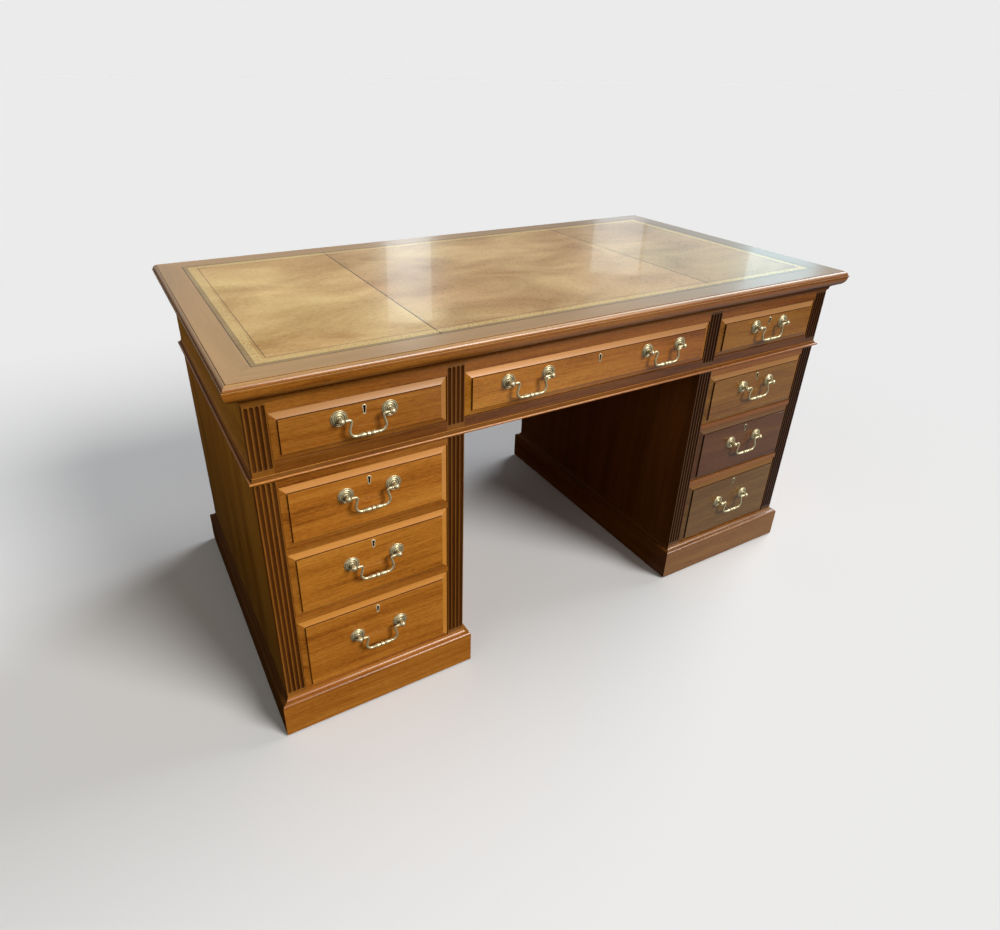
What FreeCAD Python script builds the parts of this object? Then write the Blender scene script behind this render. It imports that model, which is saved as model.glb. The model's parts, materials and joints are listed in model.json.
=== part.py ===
import FreeCAD, Part
import math
import os
import re

import Sketcher

# A pedestal desk in polished hardwood: a framed top with a leather writing surface, a frieze with three
# drawers, and two pedestals of three drawers each. Lengths are millimetres and angles are degrees.
# +X is to the right, +Y to the back and +Z up; the origin is on the floor under the middle of the desk.

# Driving sizes
SIZES = {
    # The case, across and from front to back
    "kneehole_width": 608,
    "drawer_opening": 315,
    "pilaster_width": 36,
    "pilaster_depth": 18,
    "case_depth": 706,
    "side_thickness": 20,
    "back_thickness": 12,
    "partition_thickness": 20,
    "board_thickness": 13,
    # The case, from the floor up
    "glide_height": 3,
    "plinth_height": 74,
    "bottom_rail": 15,
    "lower_opening": 175,
    "middle_opening": 146,
    "upper_opening": 127,
    "divider_rail": 13,
    "pedestal_top_rail": 19,
    "frieze_bottom_rail": 30,
    "frieze_opening": 90,
    "frieze_top_rail": 44,
    # The top, its moulded edge and its leather
    "top_thickness": 24,
    "top_overhang": 29,
    "border_width": 57,
    "edge_moulding": 9.5,
    "edge_step": 1.2,
    "edge_radius": 8.2,
    "edge_drop": 10,
    "edge_ledge": 2,
    "edge_lip": 3.5,
    "edge_quirk": 1,
    "edge_sweep": 23,
    "edge_return": 3.4,
    "tongue_depth": 6,
    "tongue_thickness": 8,
    "leather_thickness": 1.2,
    "centre_skin_width": 670,
    # Cornice, waist and plinth mouldings
    "cornice_height": 24,
    "cornice_foot": 1.5,
    "cornice_fillet": 2.5,
    "cornice_cove": 10,
    "cornice_step": 13,
    "cornice_step_height": 13.5,
    "cornice_ovolo": 15.5,
    "waist_height": 10.5,
    "waist_reach": 8,
    "waist_bead": 5,
    "waist_fillet": 1.8,
    "plinth_reach": 14,
    "plinth_thickness": 22,
    "plinth_moulding": 15,
    "plinth_quirk": 2,
    "plinth_ovolo": 6,
    "plinth_foot": 1.5,
    "corner_block": 40,
    "glide_diameter": 22,
    "glide_foot": 17,
    "glide_inset": 14,
    "glide_sides": 8,
    # Flutes of the pilasters
    "flute_count": 4,
    "flute_width": 7,
    "flute_depth": 2.8,
    "flute_pitch": 8.6,
    "flute_foot": 10,
    "flute_head": 5,
    # Drawers
    "drawer_gap": 1,
    "running_clearance": 0.3,
    "front_setback": 2,
    "front_thickness": 19,
    "bevel_run": 13,
    "bevel_rise": 4.5,
    "field_step": 3,
    "drawer_side": 10,
    "drawer_back": 10,
    "drawer_bottom": 6,
    "bottom_rise": 9,
    "groove_depth": 5,
    "groove_clearance": 0.5,
    "side_lap": 9,
    "box_drop": 8,
    "back_drop": 6,
    "drawer_depth": 640,
    "guide_height": 20,
    "stop_length": 36,
    "stop_depth": 14,
    "stop_height": 6,
    "stop_inset": 20,
    # Handles
    "post_spacing": 90,
    "centre_handle_offset": 170,
    "frieze_handle_drop": 33.5,
    "upper_handle_drop": 45.5,
    "middle_handle_drop": 57.5,
    "lower_handle_drop": 75.5,
    "rosette_diameter": 30,
    "rosette_sides": 12,
    "rosette_rim": 1.6,
    "rosette_ridge": 3,
    "rosette_ridge_diameter": 25,
    "rosette_boss": 4,
    "post_reach": 14,
    "post_sides": 8,
    "post_foot_diameter": 8.4,
    "neck_diameter": 6,
    "head_diameter": 11,
    "head_face_diameter": 6,
    "head_band": 3,
    "pin_diameter": 3.2,
    "pin_clearance": 0.08,
    "pin_past_centre": 2,
    "bail_sides": 6,
    "bail_shoulder_gap": 0.4,
    "bail_rod": 5,
    "bend_steps": 3,
    "bail_drop": 32,
    "neck_run": 12.5,
    "neck_radius": 4,
    "neck_lean": 15,
    "heel_radius": 11,
    "grip_length": 36,
    "grip_diameter": 7.6,
    "grip_waist": 5.8,
    "collar_diameter": 8.2,
    "collar_width": 5,
    "collar_neck": 1.5,
    # Locks and keyholes
    "keyhole_drop": 26,
    "escutcheon_height": 18,
    "escutcheon_width": 9,
    "escutcheon_leg": 5.2,
    "escutcheon_rim": 1.5,
    "escutcheon_depth": 4,
    "lock_width": 50,
    "lock_height": 34,
    "lock_depth": 9,
    "bolt_width": 22,
    "bolt_thickness": 5,
    "bolt_length": 18,
    "bolt_throw": 7,
    "bolt_clearance": 0.3,
    "mortise_clearance": 0.9,
}

# Places that follow from the driving sizes
LAYOUT = {
    "pedestal_width": "drawer_opening + 2 * pilaster_width",
    "case_width": "kneehole_width + 2 * pedestal_width",
    "case_edge": "case_width / 2",
    "case_back": "case_depth / 2",
    "case_front": "-case_depth / 2",
    "frame_back": "case_front + pilaster_depth",
    "back_inside": "case_back - back_thickness",
    "knee_edge": "kneehole_width / 2",
    "opening_inner": "knee_edge + pilaster_width",
    "opening_outer": "case_edge - pilaster_width",
    "opening_middle": "opening_inner + drawer_opening / 2",
    "partition_middle": "knee_edge + pilaster_width / 2",
    "lower_floor": "plinth_height + bottom_rail",
    "lower_ceiling": "lower_floor + lower_opening",
    "middle_floor": "lower_ceiling + divider_rail",
    "middle_ceiling": "middle_floor + middle_opening",
    "upper_floor": "middle_ceiling + divider_rail",
    "upper_ceiling": "upper_floor + upper_opening",
    "pedestal_top": "upper_ceiling + pedestal_top_rail",
    "frieze_floor": "pedestal_top + frieze_bottom_rail",
    "frieze_ceiling": "frieze_floor + frieze_opening",
    "case_top": "frieze_ceiling + frieze_top_rail",
    "desk_top": "case_top + top_thickness",
    "cornice_bottom": "case_top - cornice_height",
    "cornice_reach": "top_overhang - edge_return",
    "waist_top": "pedestal_top + waist_height",
    "plinth_inset": "plinth_thickness - plinth_reach",
    "leather_length": "case_width + 2 * top_overhang - 2 * border_width",
    "leather_width": "case_depth + 2 * top_overhang - 2 * border_width",
    "field_proud": "bevel_rise + field_step - front_setback",
    "front_back": "front_thickness - field_proud",
    "pivot_proud": "field_proud + post_reach",
    "bail_shoulder": "(post_spacing - head_diameter) / 2 - bail_shoulder_gap",
    "neck_start": "post_spacing / 2 - neck_run",
    "neck_low": "neck_radius * (1 + sin(neck_lean * 1 deg))",
    "neck_inner": "neck_start - neck_radius * cos(neck_lean * 1 deg)",
    "arm_fall": "bail_drop - neck_low - heel_radius * (1 + sin(neck_lean * 1 deg))",
    "arm_outer": "neck_inner + arm_fall * tan(neck_lean * 1 deg)",
    "heel_end": "arm_outer - heel_radius * cos(neck_lean * 1 deg)",
}

doc = FreeCAD.newDocument("pedestal_desk")
home = {}


def fill_sheet(name, rows):
    """A sheet with one named cell for each row."""
    sheet = doc.addObject("Spreadsheet::Sheet", name)
    for number, (alias, content) in enumerate(rows.items(), start=1):
        sheet.set(f"A{number}", alias)
        sheet.set(f"B{number}", f"={cells(content)}" if isinstance(content, str) else str(content))
        sheet.setAlias(f"B{number}", alias)
        home[alias] = f"{name}.{alias}"
    doc.recompute()
    return sheet


def cells(text):
    """An expression with each size's name written as its cell."""
    return re.sub(r"[a-z_]+", lambda word: home.get(word.group(), word.group()), text)


sizes = fill_sheet("Sizes", SIZES)
layout = fill_sheet("Layout", LAYOUT)


def value(text):
    """The number that an expression gives now."""
    return float(sizes.evalExpression(cells(text)))


def bind(thing, **expressions):
    for name, text in expressions.items():
        thing.setExpression(name, cells(text))


def place(thing, x="0", y="0", z="0"):
    """Ties a thing's place to the sheet."""
    for axis, text in (("x", x), ("y", y), ("z", z)):
        thing.setExpression(f"Placement.Base.{axis}", cells(text))
    return thing


def board(name, x, y, z):
    """A square-edged board between two planes on each axis."""
    box = doc.addObject("Part::Box", name)
    spans = (("Length", x), ("Width", y), ("Height", z))
    for side, (low, high) in spans:
        box.setExpression(side, cells(f"({high}) - ({low})"))
    return place(box, x[0], y[0], z[0])


def mirrored_boards(name, x, y, z):
    """A board and its twin on the other side of the desk."""
    low, high = x
    twin = (f"-({high})", f"-({low})")
    return [board(f"{name}_right", x, y, z), board(f"{name}_left", twin, y, z)]


def cut(name, base, tool):
    piece = doc.addObject("Part::Cut", name)
    piece.Base = base
    piece.Tool = tool
    return piece


def gather(label, pieces):
    """One sub-part made of several separate solids."""
    group = doc.addObject("Part::Compound", label)
    group.Label = label
    group.Links = pieces
    return group


def new_body(name):
    body = doc.addObject("PartDesign::Body", name)
    body.Label = name
    return body


def origin(body, role):
    return next(part for part in body.Origin.OriginFeatures if part.Role == role)


def new_sketch(body, plane, name, lift=None):
    """A sketch on one of the body's own planes, lifted along that plane's normal."""
    sketch = body.newObject("Sketcher::SketchObject", name)
    sketch.AttachmentSupport = [(origin(body, plane), "")]
    sketch.MapMode = "FlatFace"
    if lift:
        sketch.setExpression("AttachmentOffset.Base.z", cells(lift))
    return sketch


def pin_down(sketch, edge, end, corner):
    """Holds one end of an edge at a corner given by two expressions."""
    for kind, text, axis in (("DistanceX", corner[0], -2), ("DistanceY", corner[1], -1)):
        if text == "0":
            sketch.addConstraint(Sketcher.Constraint("PointOnObject", edge, end, axis))
        else:
            held = sketch.addConstraint(Sketcher.Constraint(kind, -1, 1, edge, end, value(text)))
            sketch.setExpression(f"Constraints[{held}]", cells(text))


def draw(sketch, corners, closed=True):
    """Draws lines and arcs from corner to corner, with every corner tied to the sheet.

    A corner is (x, y), or (x, y, radius, turn) where the edge that leaves it is an arc of less than half a
    circle: turn is 1 to the left and -1 to the right.
    """
    points = [FreeCAD.Vector(value(corner[0]), value(corner[1]), 0) for corner in corners]
    edges = []
    for number in range(len(corners) if closed else len(corners) - 1):
        start, end = points[number], points[(number + 1) % len(points)]
        corner = corners[number]
        if len(corner) == 2:
            edge = sketch.addGeometry(Part.LineSegment(start, end), False)
            edges.append((edge, 1, 2))
            continue
        radius, turn = value(corner[2]), corner[3]
        chord = end - start
        left = FreeCAD.Vector(-chord.y, chord.x, 0).normalize() * turn
        rise = math.sqrt(max(radius**2 - (chord.Length / 2) ** 2, 0))
        crown = (start + end) / 2 + left * (rise - radius)
        first, last = (start, end) if turn > 0 else (end, start)
        edge = sketch.addGeometry(Part.Arc(first, crown, last), False)
        held = sketch.addConstraint(Sketcher.Constraint("Radius", edge, radius))
        sketch.setExpression(f"Constraints[{held}]", cells(corner[2]))
        edges.append((edge, 1, 2) if turn > 0 else (edge, 2, 1))
    for number, (edge, begin, finish) in enumerate(edges):
        pin_down(sketch, edge, begin, corners[number])
        follower = edges[(number + 1) % len(edges)]
        if closed or number + 1 < len(edges):
            sketch.addConstraint(Sketcher.Constraint("Coincident", edge, finish, follower[0], follower[1]))
        else:
            pin_down(sketch, edge, finish, corners[-1])
    return sketch


def rectangle(x, y):
    """The four corners between two expressions on each axis."""
    return [(x[0], y[0]), (x[1], y[0]), (x[1], y[1]), (x[0], y[1])]


def pad(body, sketch, length, back=None, reverse=False, centred=False):
    """Extrudes a sketch along its normal, and by back to the other side."""
    feature = body.newObject("PartDesign::Pad", f"{sketch.Name}_pad")
    feature.Profile = sketch
    feature.Reversed = reverse
    bind(feature, Length=length)
    if back:
        feature.SideType = "Two sides"
        bind(feature, Length2=back)
    if centred:
        feature.SideType = "Symmetric"
    return feature


def pocket(body, sketch, length=None, back=None, reverse=False):
    """Cuts a sketch against its normal, or right through on both sides with no length."""
    feature = body.newObject("PartDesign::Pocket", f"{sketch.Name}_pocket")
    feature.Profile = sketch
    feature.Reversed = reverse
    if length:
        bind(feature, Length=length)
        if back:
            feature.SideType = "Two sides"
            bind(feature, Length2=back)
    else:
        feature.Type = "ThroughAll"
        feature.SideType = "Symmetric"
    return feature


def ringed(name, rings):
    """A light solid with flat sides, from one ring of corners to the next."""
    outlines = [rings[0], rings[-1]]
    for lower, upper in zip(rings, rings[1:]):
        for number, corner in enumerate(lower):
            outlines.append([corner, lower[number - 1], upper[number - 1]])
            outlines.append([corner, upper[number - 1], upper[number]])
    faces = [Part.Face(Part.makePolygon([*outline, outline[0]])) for outline in outlines]
    piece = doc.addObject("Part::Feature", name)
    piece.Shape = Part.Solid(Part.Shell(faces)).removeSplitter()
    return piece


def turned(name, sides, profile):
    """A turned piece about its own Z axis, from a profile of radius and height."""
    corners = int(value(sides))
    rings = []
    for radius, height in profile:
        arm, rise = value(radius), value(height)
        angles = [2 * math.pi * (number + 0.5) / corners for number in range(corners)]
        rings.append([FreeCAD.Vector(arm * math.cos(a), arm * math.sin(a), rise) for a in angles])
    return ringed(name, rings)


def copy_of(name, body, rotation, **where):
    """The same piece again, in another place."""
    link = doc.addObject("App::Link", name)
    link.LinkedObject = body
    link.Placement = FreeCAD.Placement(FreeCAD.Vector(), rotation)
    return place(link, **where)


# Mitred frames: each length is drawn as the back one, with its outside towards +Y, then turned into place


def mitred_length(name, profile, inner_length, reach):
    """A moulded length whose ends are cut at 45 degrees, from a profile of reach and height."""
    body = new_body(name)
    section = draw(new_sketch(body, "YZ_Plane", f"{name}_section"), profile)
    pad(body, section, f"{inner_length} + 2 * ({reach})", centred=True)
    ends = new_sketch(body, "XY_Plane", f"{name}_mitres")
    near = f"({inner_length}) / 2"
    far = f"({inner_length}) / 2 + ({reach})"
    for sign, turn in (("", 1), ("-", -1)):
        waste = [(f"{sign}({near})", "0"), (f"{sign}({far})", "0"), (f"{sign}({far})", reach)]
        first = ends.GeometryCount
        triangle = waste[::turn]
        points = [FreeCAD.Vector(value(x), value(y), 0) for x, y in triangle]
        for number in range(3):
            ends.addGeometry(Part.LineSegment(points[number], points[(number + 1) % 3]), False)
        for number in range(3):
            pin_down(ends, first + number, 1, triangle[number])
            joined = (first + number, 2, first + (number + 1) % 3, 1)
            ends.addConstraint(Sketcher.Constraint("Coincident", *joined))
    pocket(body, ends)
    return body


def mitred_frame(name, profile, reach, centre, inside, floor):
    """Four mitred lengths round a rectangle, inside being its length along X and along Y."""
    sides = {
        "back": (0, inside[0], "0", f"({inside[1]}) / 2"),
        "left": (90, inside[1], f"-({inside[0]}) / 2", "0"),
        "front": (180, inside[0], "0", f"-({inside[1]}) / 2"),
        "right": (270, inside[1], f"({inside[0]}) / 2", "0"),
    }
    lengths = []
    for side, (angle, length, x, y) in sides.items():
        body = mitred_length(f"{name}_{side}", profile, length, reach)
        body.Placement = FreeCAD.Placement(
            FreeCAD.Vector(), FreeCAD.Rotation(FreeCAD.Vector(0, 0, 1), angle)
        )
        lengths.append(place(body, f"({centre}) + ({x})", y, floor))
    return lengths


# The top


def build_top():
    flat_end = "border_width - edge_moulding"
    lip = "top_thickness - edge_drop"
    ovolo_end = "border_width - edge_ledge"
    tongue_floor = "(top_thickness - tongue_thickness) / 2"
    tongue_roof = "(top_thickness + tongue_thickness) / 2"
    profile = [
        ("0", "0"),
        ("border_width - edge_return", "0", "edge_sweep", 1),
        ("border_width - edge_quirk", f"{lip} - edge_lip"),
        ("border_width", f"{lip} - edge_lip"),
        ("border_width", lip),
        (ovolo_end, lip, "edge_radius", 1),
        (flat_end, "top_thickness - edge_step"),
        (flat_end, "top_thickness"),
        ("0", "top_thickness"),
        ("0", tongue_roof),
        ("tongue_depth", tongue_roof),
        ("tongue_depth", tongue_floor),
        ("0", tongue_floor),
    ]
    border = mitred_frame(
        "top_border", profile, "border_width", "0", ("leather_length", "leather_width"), "case_top"
    )
    ground = board(
        "ground",
        ("-leather_length / 2", "leather_length / 2"),
        ("-leather_width / 2", "leather_width / 2"),
        ("case_top", "desk_top - leather_thickness"),
    )
    tongue = board(
        "tongue",
        ("-leather_length / 2 - tongue_depth", "leather_length / 2 + tongue_depth"),
        ("-leather_width / 2 - tongue_depth", "leather_width / 2 + tongue_depth"),
        (f"case_top + {tongue_floor}", f"case_top + {tongue_roof}"),
    )
    panel = doc.addObject("Part::Fuse", "top_panel")
    panel.Base = ground
    panel.Tool = tongue
    depth = ("-leather_width / 2", "leather_width / 2")
    thickness = ("desk_top - leather_thickness", "desk_top")
    seam = "centre_skin_width / 2"
    skins = mirrored_boards("side_skin", (seam, "leather_length / 2"), depth, thickness)
    skins.append(board("centre_skin", (f"-{seam}", seam), depth, thickness))
    return [gather("top_frame", border), panel, gather("leather_skins", skins)]


# Mouldings of the frieze


def build_frieze_mouldings():
    cornice = [
        ("0", "0"),
        ("cornice_foot", "0"),
        ("cornice_foot", "cornice_fillet"),
        ("2 * cornice_foot", "cornice_fillet", "cornice_cove", -1),
        ("cornice_step - cornice_foot", "cornice_step_height"),
        ("cornice_step", "cornice_step_height"),
        ("cornice_step", "cornice_step_height + cornice_foot", "cornice_ovolo", 1),
        ("cornice_reach", "cornice_height"),
        ("0", "cornice_height"),
    ]
    waist = [
        ("0", "0"),
        ("waist_reach - waist_bead / 2", "0", "waist_bead / 2", 1),
        ("waist_reach", "waist_bead / 2", "waist_bead / 2", 1),
        ("waist_reach - waist_bead / 2", "waist_bead", "waist_height - waist_bead", -1),
        ("waist_fillet", "waist_height - waist_fillet"),
        ("waist_fillet", "waist_height"),
        ("0", "waist_height"),
    ]
    inside = ("case_width", "case_depth")
    upper = mitred_frame("cornice", cornice, "cornice_reach", "0", inside, "cornice_bottom")
    lower = mitred_frame("waist", waist, "waist_reach", "0", inside, "pedestal_top")
    return [gather("cornice_moulding", upper), gather("waist_moulding", lower)]


# Plinths, with their mouldings, corner blocks and glides


def build_plinths():
    moulding = [
        ("0", "0"),
        ("plinth_reach", "0"),
        ("plinth_reach", "plinth_quirk", "plinth_ovolo", 1),
        ("plinth_reach - plinth_ovolo", "plinth_quirk + plinth_ovolo"),
        (
            "plinth_reach - plinth_ovolo - plinth_foot",
            "plinth_quirk + plinth_ovolo",
            "plinth_reach - plinth_ovolo",
            -1,
        ),
        ("plinth_foot", "plinth_moulding - plinth_foot"),
        ("plinth_foot", "plinth_moulding"),
        ("0", "plinth_moulding"),
    ]
    plain = rectangle(("0", "plinth_thickness"), ("glide_height", "plinth_height"))
    glide_profile = [("glide_foot / 2", "0"), ("glide_diameter / 2", "glide_height")]
    glide = turned("glide", "glide_sides", glide_profile)
    outline = ("pedestal_width", "case_depth")
    frames, glides = [], []
    for side, sign in (("left", "-"), ("right", "")):
        middle = f"{sign}opening_middle"
        inside = ("pedestal_width - 2 * plinth_inset", "case_depth - 2 * plinth_inset")
        pieces = mitred_frame(f"{side}_plinth_board", plain, "plinth_thickness", middle, inside, "0")
        pieces += mitred_frame(
            f"{side}_plinth_cap", moulding, "plinth_reach", middle, outline, "plinth_height"
        )
        for across, along in (("-", "-"), ("-", ""), ("", "-"), ("", "")):
            corner = {
                "x": (f"{middle} + {across}(pedestal_width / 2 - plinth_inset)", across),
                "y": (f"{along}(case_depth / 2 - plinth_inset)", along),
            }
            spans = [
                (edge, f"{edge} + corner_block") if way == "-" else (f"{edge} - corner_block", edge)
                for edge, way in corner.values()
            ]
            pieces.append(board(f"{side}_corner_block", *spans, ("glide_height", "plinth_height")))
            outside = "plinth_reach - glide_inset"
            spot = {
                "x": f"{middle} + {across}(pedestal_width / 2 + {outside})",
                "y": f"{along}(case_depth / 2 + {outside})",
            }
            glides.append(copy_of(f"{side}_glide", glide, FreeCAD.Rotation(), **spot))
        frames.append(gather(f"{side}_plinth", pieces))
    return frames + [gather("glides", glides)]


# Cases of the frieze and the pedestals


def build_cases():
    depth = ("frame_back", "case_back")
    inner_depth = ("frame_back", "back_inside")
    back_depth = ("back_inside", "case_back")
    inside_edge = "case_edge - side_thickness"
    frieze_height = ("pedestal_top", "case_top")
    half = "partition_thickness / 2"
    partition = (f"partition_middle - {half}", f"partition_middle + {half}")
    floor_height = ("frieze_floor - board_thickness", "frieze_floor")
    frieze = mirrored_boards("frieze_end", (inside_edge, "case_edge"), depth, frieze_height)
    frieze += mirrored_boards("partition", partition, inner_depth, frieze_height)
    frieze += mirrored_boards("frieze_floor", (partition[1], inside_edge), inner_depth, floor_height)
    frieze.append(board("knee_ceiling", (f"-({partition[0]})", partition[0]), inner_depth, floor_height))
    frieze.append(board("frieze_back", (f"-({inside_edge})", inside_edge), back_depth, frieze_height))
    cases = [gather("frieze_case", frieze)]
    pedestal_height = ("plinth_height", "pedestal_top")
    between = ("knee_edge + side_thickness", inside_edge)
    outer = mirrored_boards("outer_side", (inside_edge, "case_edge"), depth, pedestal_height)
    knee_side = ("knee_edge", "knee_edge + side_thickness")
    inner = mirrored_boards("inner_side", knee_side, depth, pedestal_height)
    backs = mirrored_boards("pedestal_back", between, back_depth, pedestal_height)
    lids = mirrored_boards(
        "pedestal_lid", between, inner_depth, ("pedestal_top - board_thickness", "pedestal_top")
    )
    for number, side in enumerate(("right", "left")):
        cases.append(
            gather(f"{side}_pedestal_case", [kind[number] for kind in (outer, inner, backs, lids)])
        )
    return cases


# Rails between the drawers, with a mortise above each lock


def rail(name, x, z, mortise_at=None):
    piece = board(name, x, ("case_front", "frame_back"), z)
    if not mortise_at:
        return piece
    half_width = "bolt_width / 2 + mortise_clearance"
    half_depth = "bolt_thickness / 2 + mortise_clearance"
    bolt_line = "case_front + front_back - lock_depth / 2"
    mortise = board(
        f"{name}_mortise",
        (f"{mortise_at} - ({half_width})", f"{mortise_at} + {half_width}"),
        (f"{bolt_line} - ({half_depth})", f"{bolt_line} + {half_depth}"),
        (z[0], f"{z[0]} + bolt_throw + mortise_clearance"),
    )
    return cut(f"{name}_mortised", piece, mortise)


def build_rails():
    rails = []
    for side, sign in (("left", "-"), ("right", "")):
        span = sorted((f"{sign}opening_inner", f"{sign}opening_outer"), key=value)
        lock = f"{sign}opening_middle"
        heights = {
            "bottom": ("plinth_height", "lower_floor"),
            "lower": ("lower_ceiling", "middle_floor"),
            "middle": ("middle_ceiling", "upper_floor"),
            "upper": ("upper_ceiling", "pedestal_top"),
            "frieze_bottom": ("pedestal_top", "frieze_floor"),
            "frieze_top": ("frieze_ceiling", "case_top"),
        }
        for level, height in heights.items():
            mortise_at = None if "bottom" in level else lock
            rails.append(rail(f"{side}_{level}_rail", span, height, mortise_at))
    knee = ("-knee_edge", "knee_edge")
    rails.append(rail("knee_rail", knee, ("pedestal_top", "frieze_floor")))
    rails.append(rail("centre_top_rail", knee, ("frieze_ceiling", "case_top"), "0"))
    return gather("drawer_rails", rails)


# Runner boards, side guides and drawer stops


def build_runners():
    depth = ("frame_back", "back_inside")
    inner_face = "knee_edge + side_thickness"
    outer_face = "case_edge - side_thickness"
    outer_guide = ("opening_outer", outer_face)
    partition_half = "partition_thickness / 2"
    runners = []
    floors = {
        "lower": ("lower_floor", "bottom_rail"),
        "middle": ("middle_floor", "divider_rail"),
        "upper": ("upper_floor", "divider_rail"),
    }
    for level, (floor, thickness) in floors.items():
        height = (floor, f"{floor} + guide_height")
        runners += mirrored_boards(
            f"{level}_runner", (inner_face, outer_face), depth, (f"{floor} - {thickness}", floor)
        )
        runners += mirrored_boards(f"{level}_inner_guide", (inner_face, "opening_inner"), depth, height)
        runners += mirrored_boards(f"{level}_outer_guide", outer_guide, depth, height)
    height = ("frieze_floor", "frieze_floor + guide_height")
    partition_outer = (f"partition_middle + {partition_half}", "opening_inner")
    partition_inner = ("knee_edge", f"partition_middle - {partition_half}")
    for name, span in (("end", outer_guide), ("partition", partition_outer), ("centre", partition_inner)):
        runners += mirrored_boards(f"frieze_{name}_guide", span, depth, height)
    stop_front = "case_front + front_back + running_clearance"
    stop_span = (stop_front, f"{stop_front} + stop_depth")
    stop_inset = "drawer_gap + drawer_side + stop_inset"
    for floor in ("lower_floor", "middle_floor", "upper_floor", "frieze_floor"):
        height = (floor, f"{floor} + stop_height")
        near = (f"opening_inner + {stop_inset}", f"opening_inner + {stop_inset} + stop_length")
        far = (f"opening_outer - ({stop_inset}) - stop_length", f"opening_outer - ({stop_inset})")
        runners += mirrored_boards("inner_stop", near, stop_span, height)
        runners += mirrored_boards("outer_stop", far, stop_span, height)
    centre = (f"knee_edge - ({stop_inset}) - stop_length", f"knee_edge - ({stop_inset})")
    height = ("frieze_floor", "frieze_floor + stop_height")
    runners += mirrored_boards("centre_stop", centre, stop_span, height)
    return gather("drawer_runners", runners)


# Fluted pilasters, which are the stiles of the front

# How a flute deepens from one edge to the other: thirds of its width from the middle, and share of the depth
FLUTE_HOLLOW = ((1, 0.75), (0, 1), (-1, 0.75))


def pilaster(name, middle, floor, ceiling, flute_floor, flute_ceiling):
    body = new_body(name)
    half = "pilaster_width / 2"
    blank = new_sketch(body, "XY_Plane", f"{name}_blank")
    draw(blank, rectangle((f"-{half}", half), ("0", "pilaster_depth")))
    pad(body, blank, f"({ceiling}) - ({floor})")
    flute = new_sketch(body, "XY_Plane", f"{name}_flute", f"({flute_ceiling}) - ({floor})")
    first = "-(flute_count - 1) * flute_pitch / 2"
    near, far = f"{first} - flute_width / 2", f"{first} + flute_width / 2"
    hollow = [(far, "0")]
    hollow += [(f"{first} + {step} * flute_width / 3", f"flute_depth * {share}") for step, share in FLUTE_HOLLOW]
    draw(flute, hollow + [(near, "0")])
    groove = pocket(body, flute, f"({flute_ceiling}) - ({flute_floor})")
    doc.recompute()
    row = body.newObject("PartDesign::LinearPattern", f"{name}_flutes")
    row.Originals = [groove]
    row.Direction = (origin(body, "X_Axis"), [""])
    bind(row, Length="(flute_count - 1) * flute_pitch", Occurrences="flute_count")
    body.Tip = row
    return place(body, middle, "case_front", floor)


def build_pilasters():
    pilasters = []
    for number, middle in enumerate(
        (
            "-(case_edge - pilaster_width / 2)",
            "-partition_middle",
            "partition_middle",
            "case_edge - pilaster_width / 2",
        ),
        start=1,
    ):
        pilasters.append(
            pilaster(
                f"frieze_pilaster_{number}",
                middle,
                "pedestal_top",
                "case_top",
                "waist_top + flute_foot",
                "cornice_bottom - flute_head",
            )
        )
        pilasters.append(
            pilaster(
                f"pedestal_pilaster_{number}",
                middle,
                "plinth_height",
                "pedestal_top",
                "plinth_height + plinth_moulding + flute_foot",
                "pedestal_top - flute_head",
            )
        )
    return gather("fluted_pilasters", pilasters)


# Drawers: each is drawn about the middle of its opening's lower edge, on the plane of the case's front


def drawer_front(name, width, height):
    """A raised and fielded front, cut for the sides, the bottom, the keyhole and the lock."""
    half = f"(({width}) / 2 - drawer_gap)"
    low, high = "drawer_gap", f"{height} - drawer_gap"
    body = new_body(f"{name}_front")
    blank = new_sketch(body, "XZ_Plane", f"{name}_blank")
    draw(blank, rectangle((f"-{half}", half), (low, high)))
    slab = pad(body, blank, "field_proud - field_step", "front_back")
    doc.recompute()
    face = slab.Shape.BoundBox.YMin
    edges = enumerate(slab.Shape.Edges, start=1)
    rim = [f"Edge{n}" for n, edge in edges if math.isclose(edge.BoundBox.YMax, face, abs_tol=0.001)]
    bevel = body.newObject("PartDesign::Chamfer", f"{name}_bevel")
    bevel.Base = (slab, rim)
    bevel.ChamferType = "Two distances"
    bevel.FlipDirection = True
    bind(bevel, Size="bevel_run", Size2="bevel_rise")
    field = new_sketch(body, "XZ_Plane", f"{name}_field")
    inset_half = f"({half} - bevel_run)"
    draw(field, rectangle((f"-{inset_half}", inset_half), (f"{low} + bevel_run", f"{high} - bevel_run")))
    pad(body, field, "field_proud")
    laps = new_sketch(body, "XY_Plane", f"{name}_left_lap")
    lap_depth = ("front_back - side_lap", "front_back")
    draw(laps, rectangle((f"-{half}", f"-{half} + drawer_side"), lap_depth))
    pocket(body, laps)
    laps = new_sketch(body, "XY_Plane", f"{name}_right_lap")
    draw(laps, rectangle((f"{half} - drawer_side", half), lap_depth))
    pocket(body, laps)
    groove = new_sketch(body, "YZ_Plane", f"{name}_groove")
    groove_depth = ("front_back - groove_depth", "front_back")
    draw(groove, rectangle(groove_depth, ("bottom_rise", "bottom_rise + drawer_bottom")))
    pocket(body, groove)
    recess = new_sketch(body, "XY_Plane", f"{name}_recess", high)
    lock_depth = ("front_back - lock_depth", "front_back")
    draw(recess, rectangle(("-lock_width / 2", "lock_width / 2"), lock_depth))
    pocket(body, recess, "lock_height")
    keyhole = new_sketch(body, "XZ_Plane", f"{name}_keyhole")
    draw(keyhole, keyhole_outline(f"{height} - keyhole_drop", "0"))
    pocket(body, keyhole)
    return body


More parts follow.
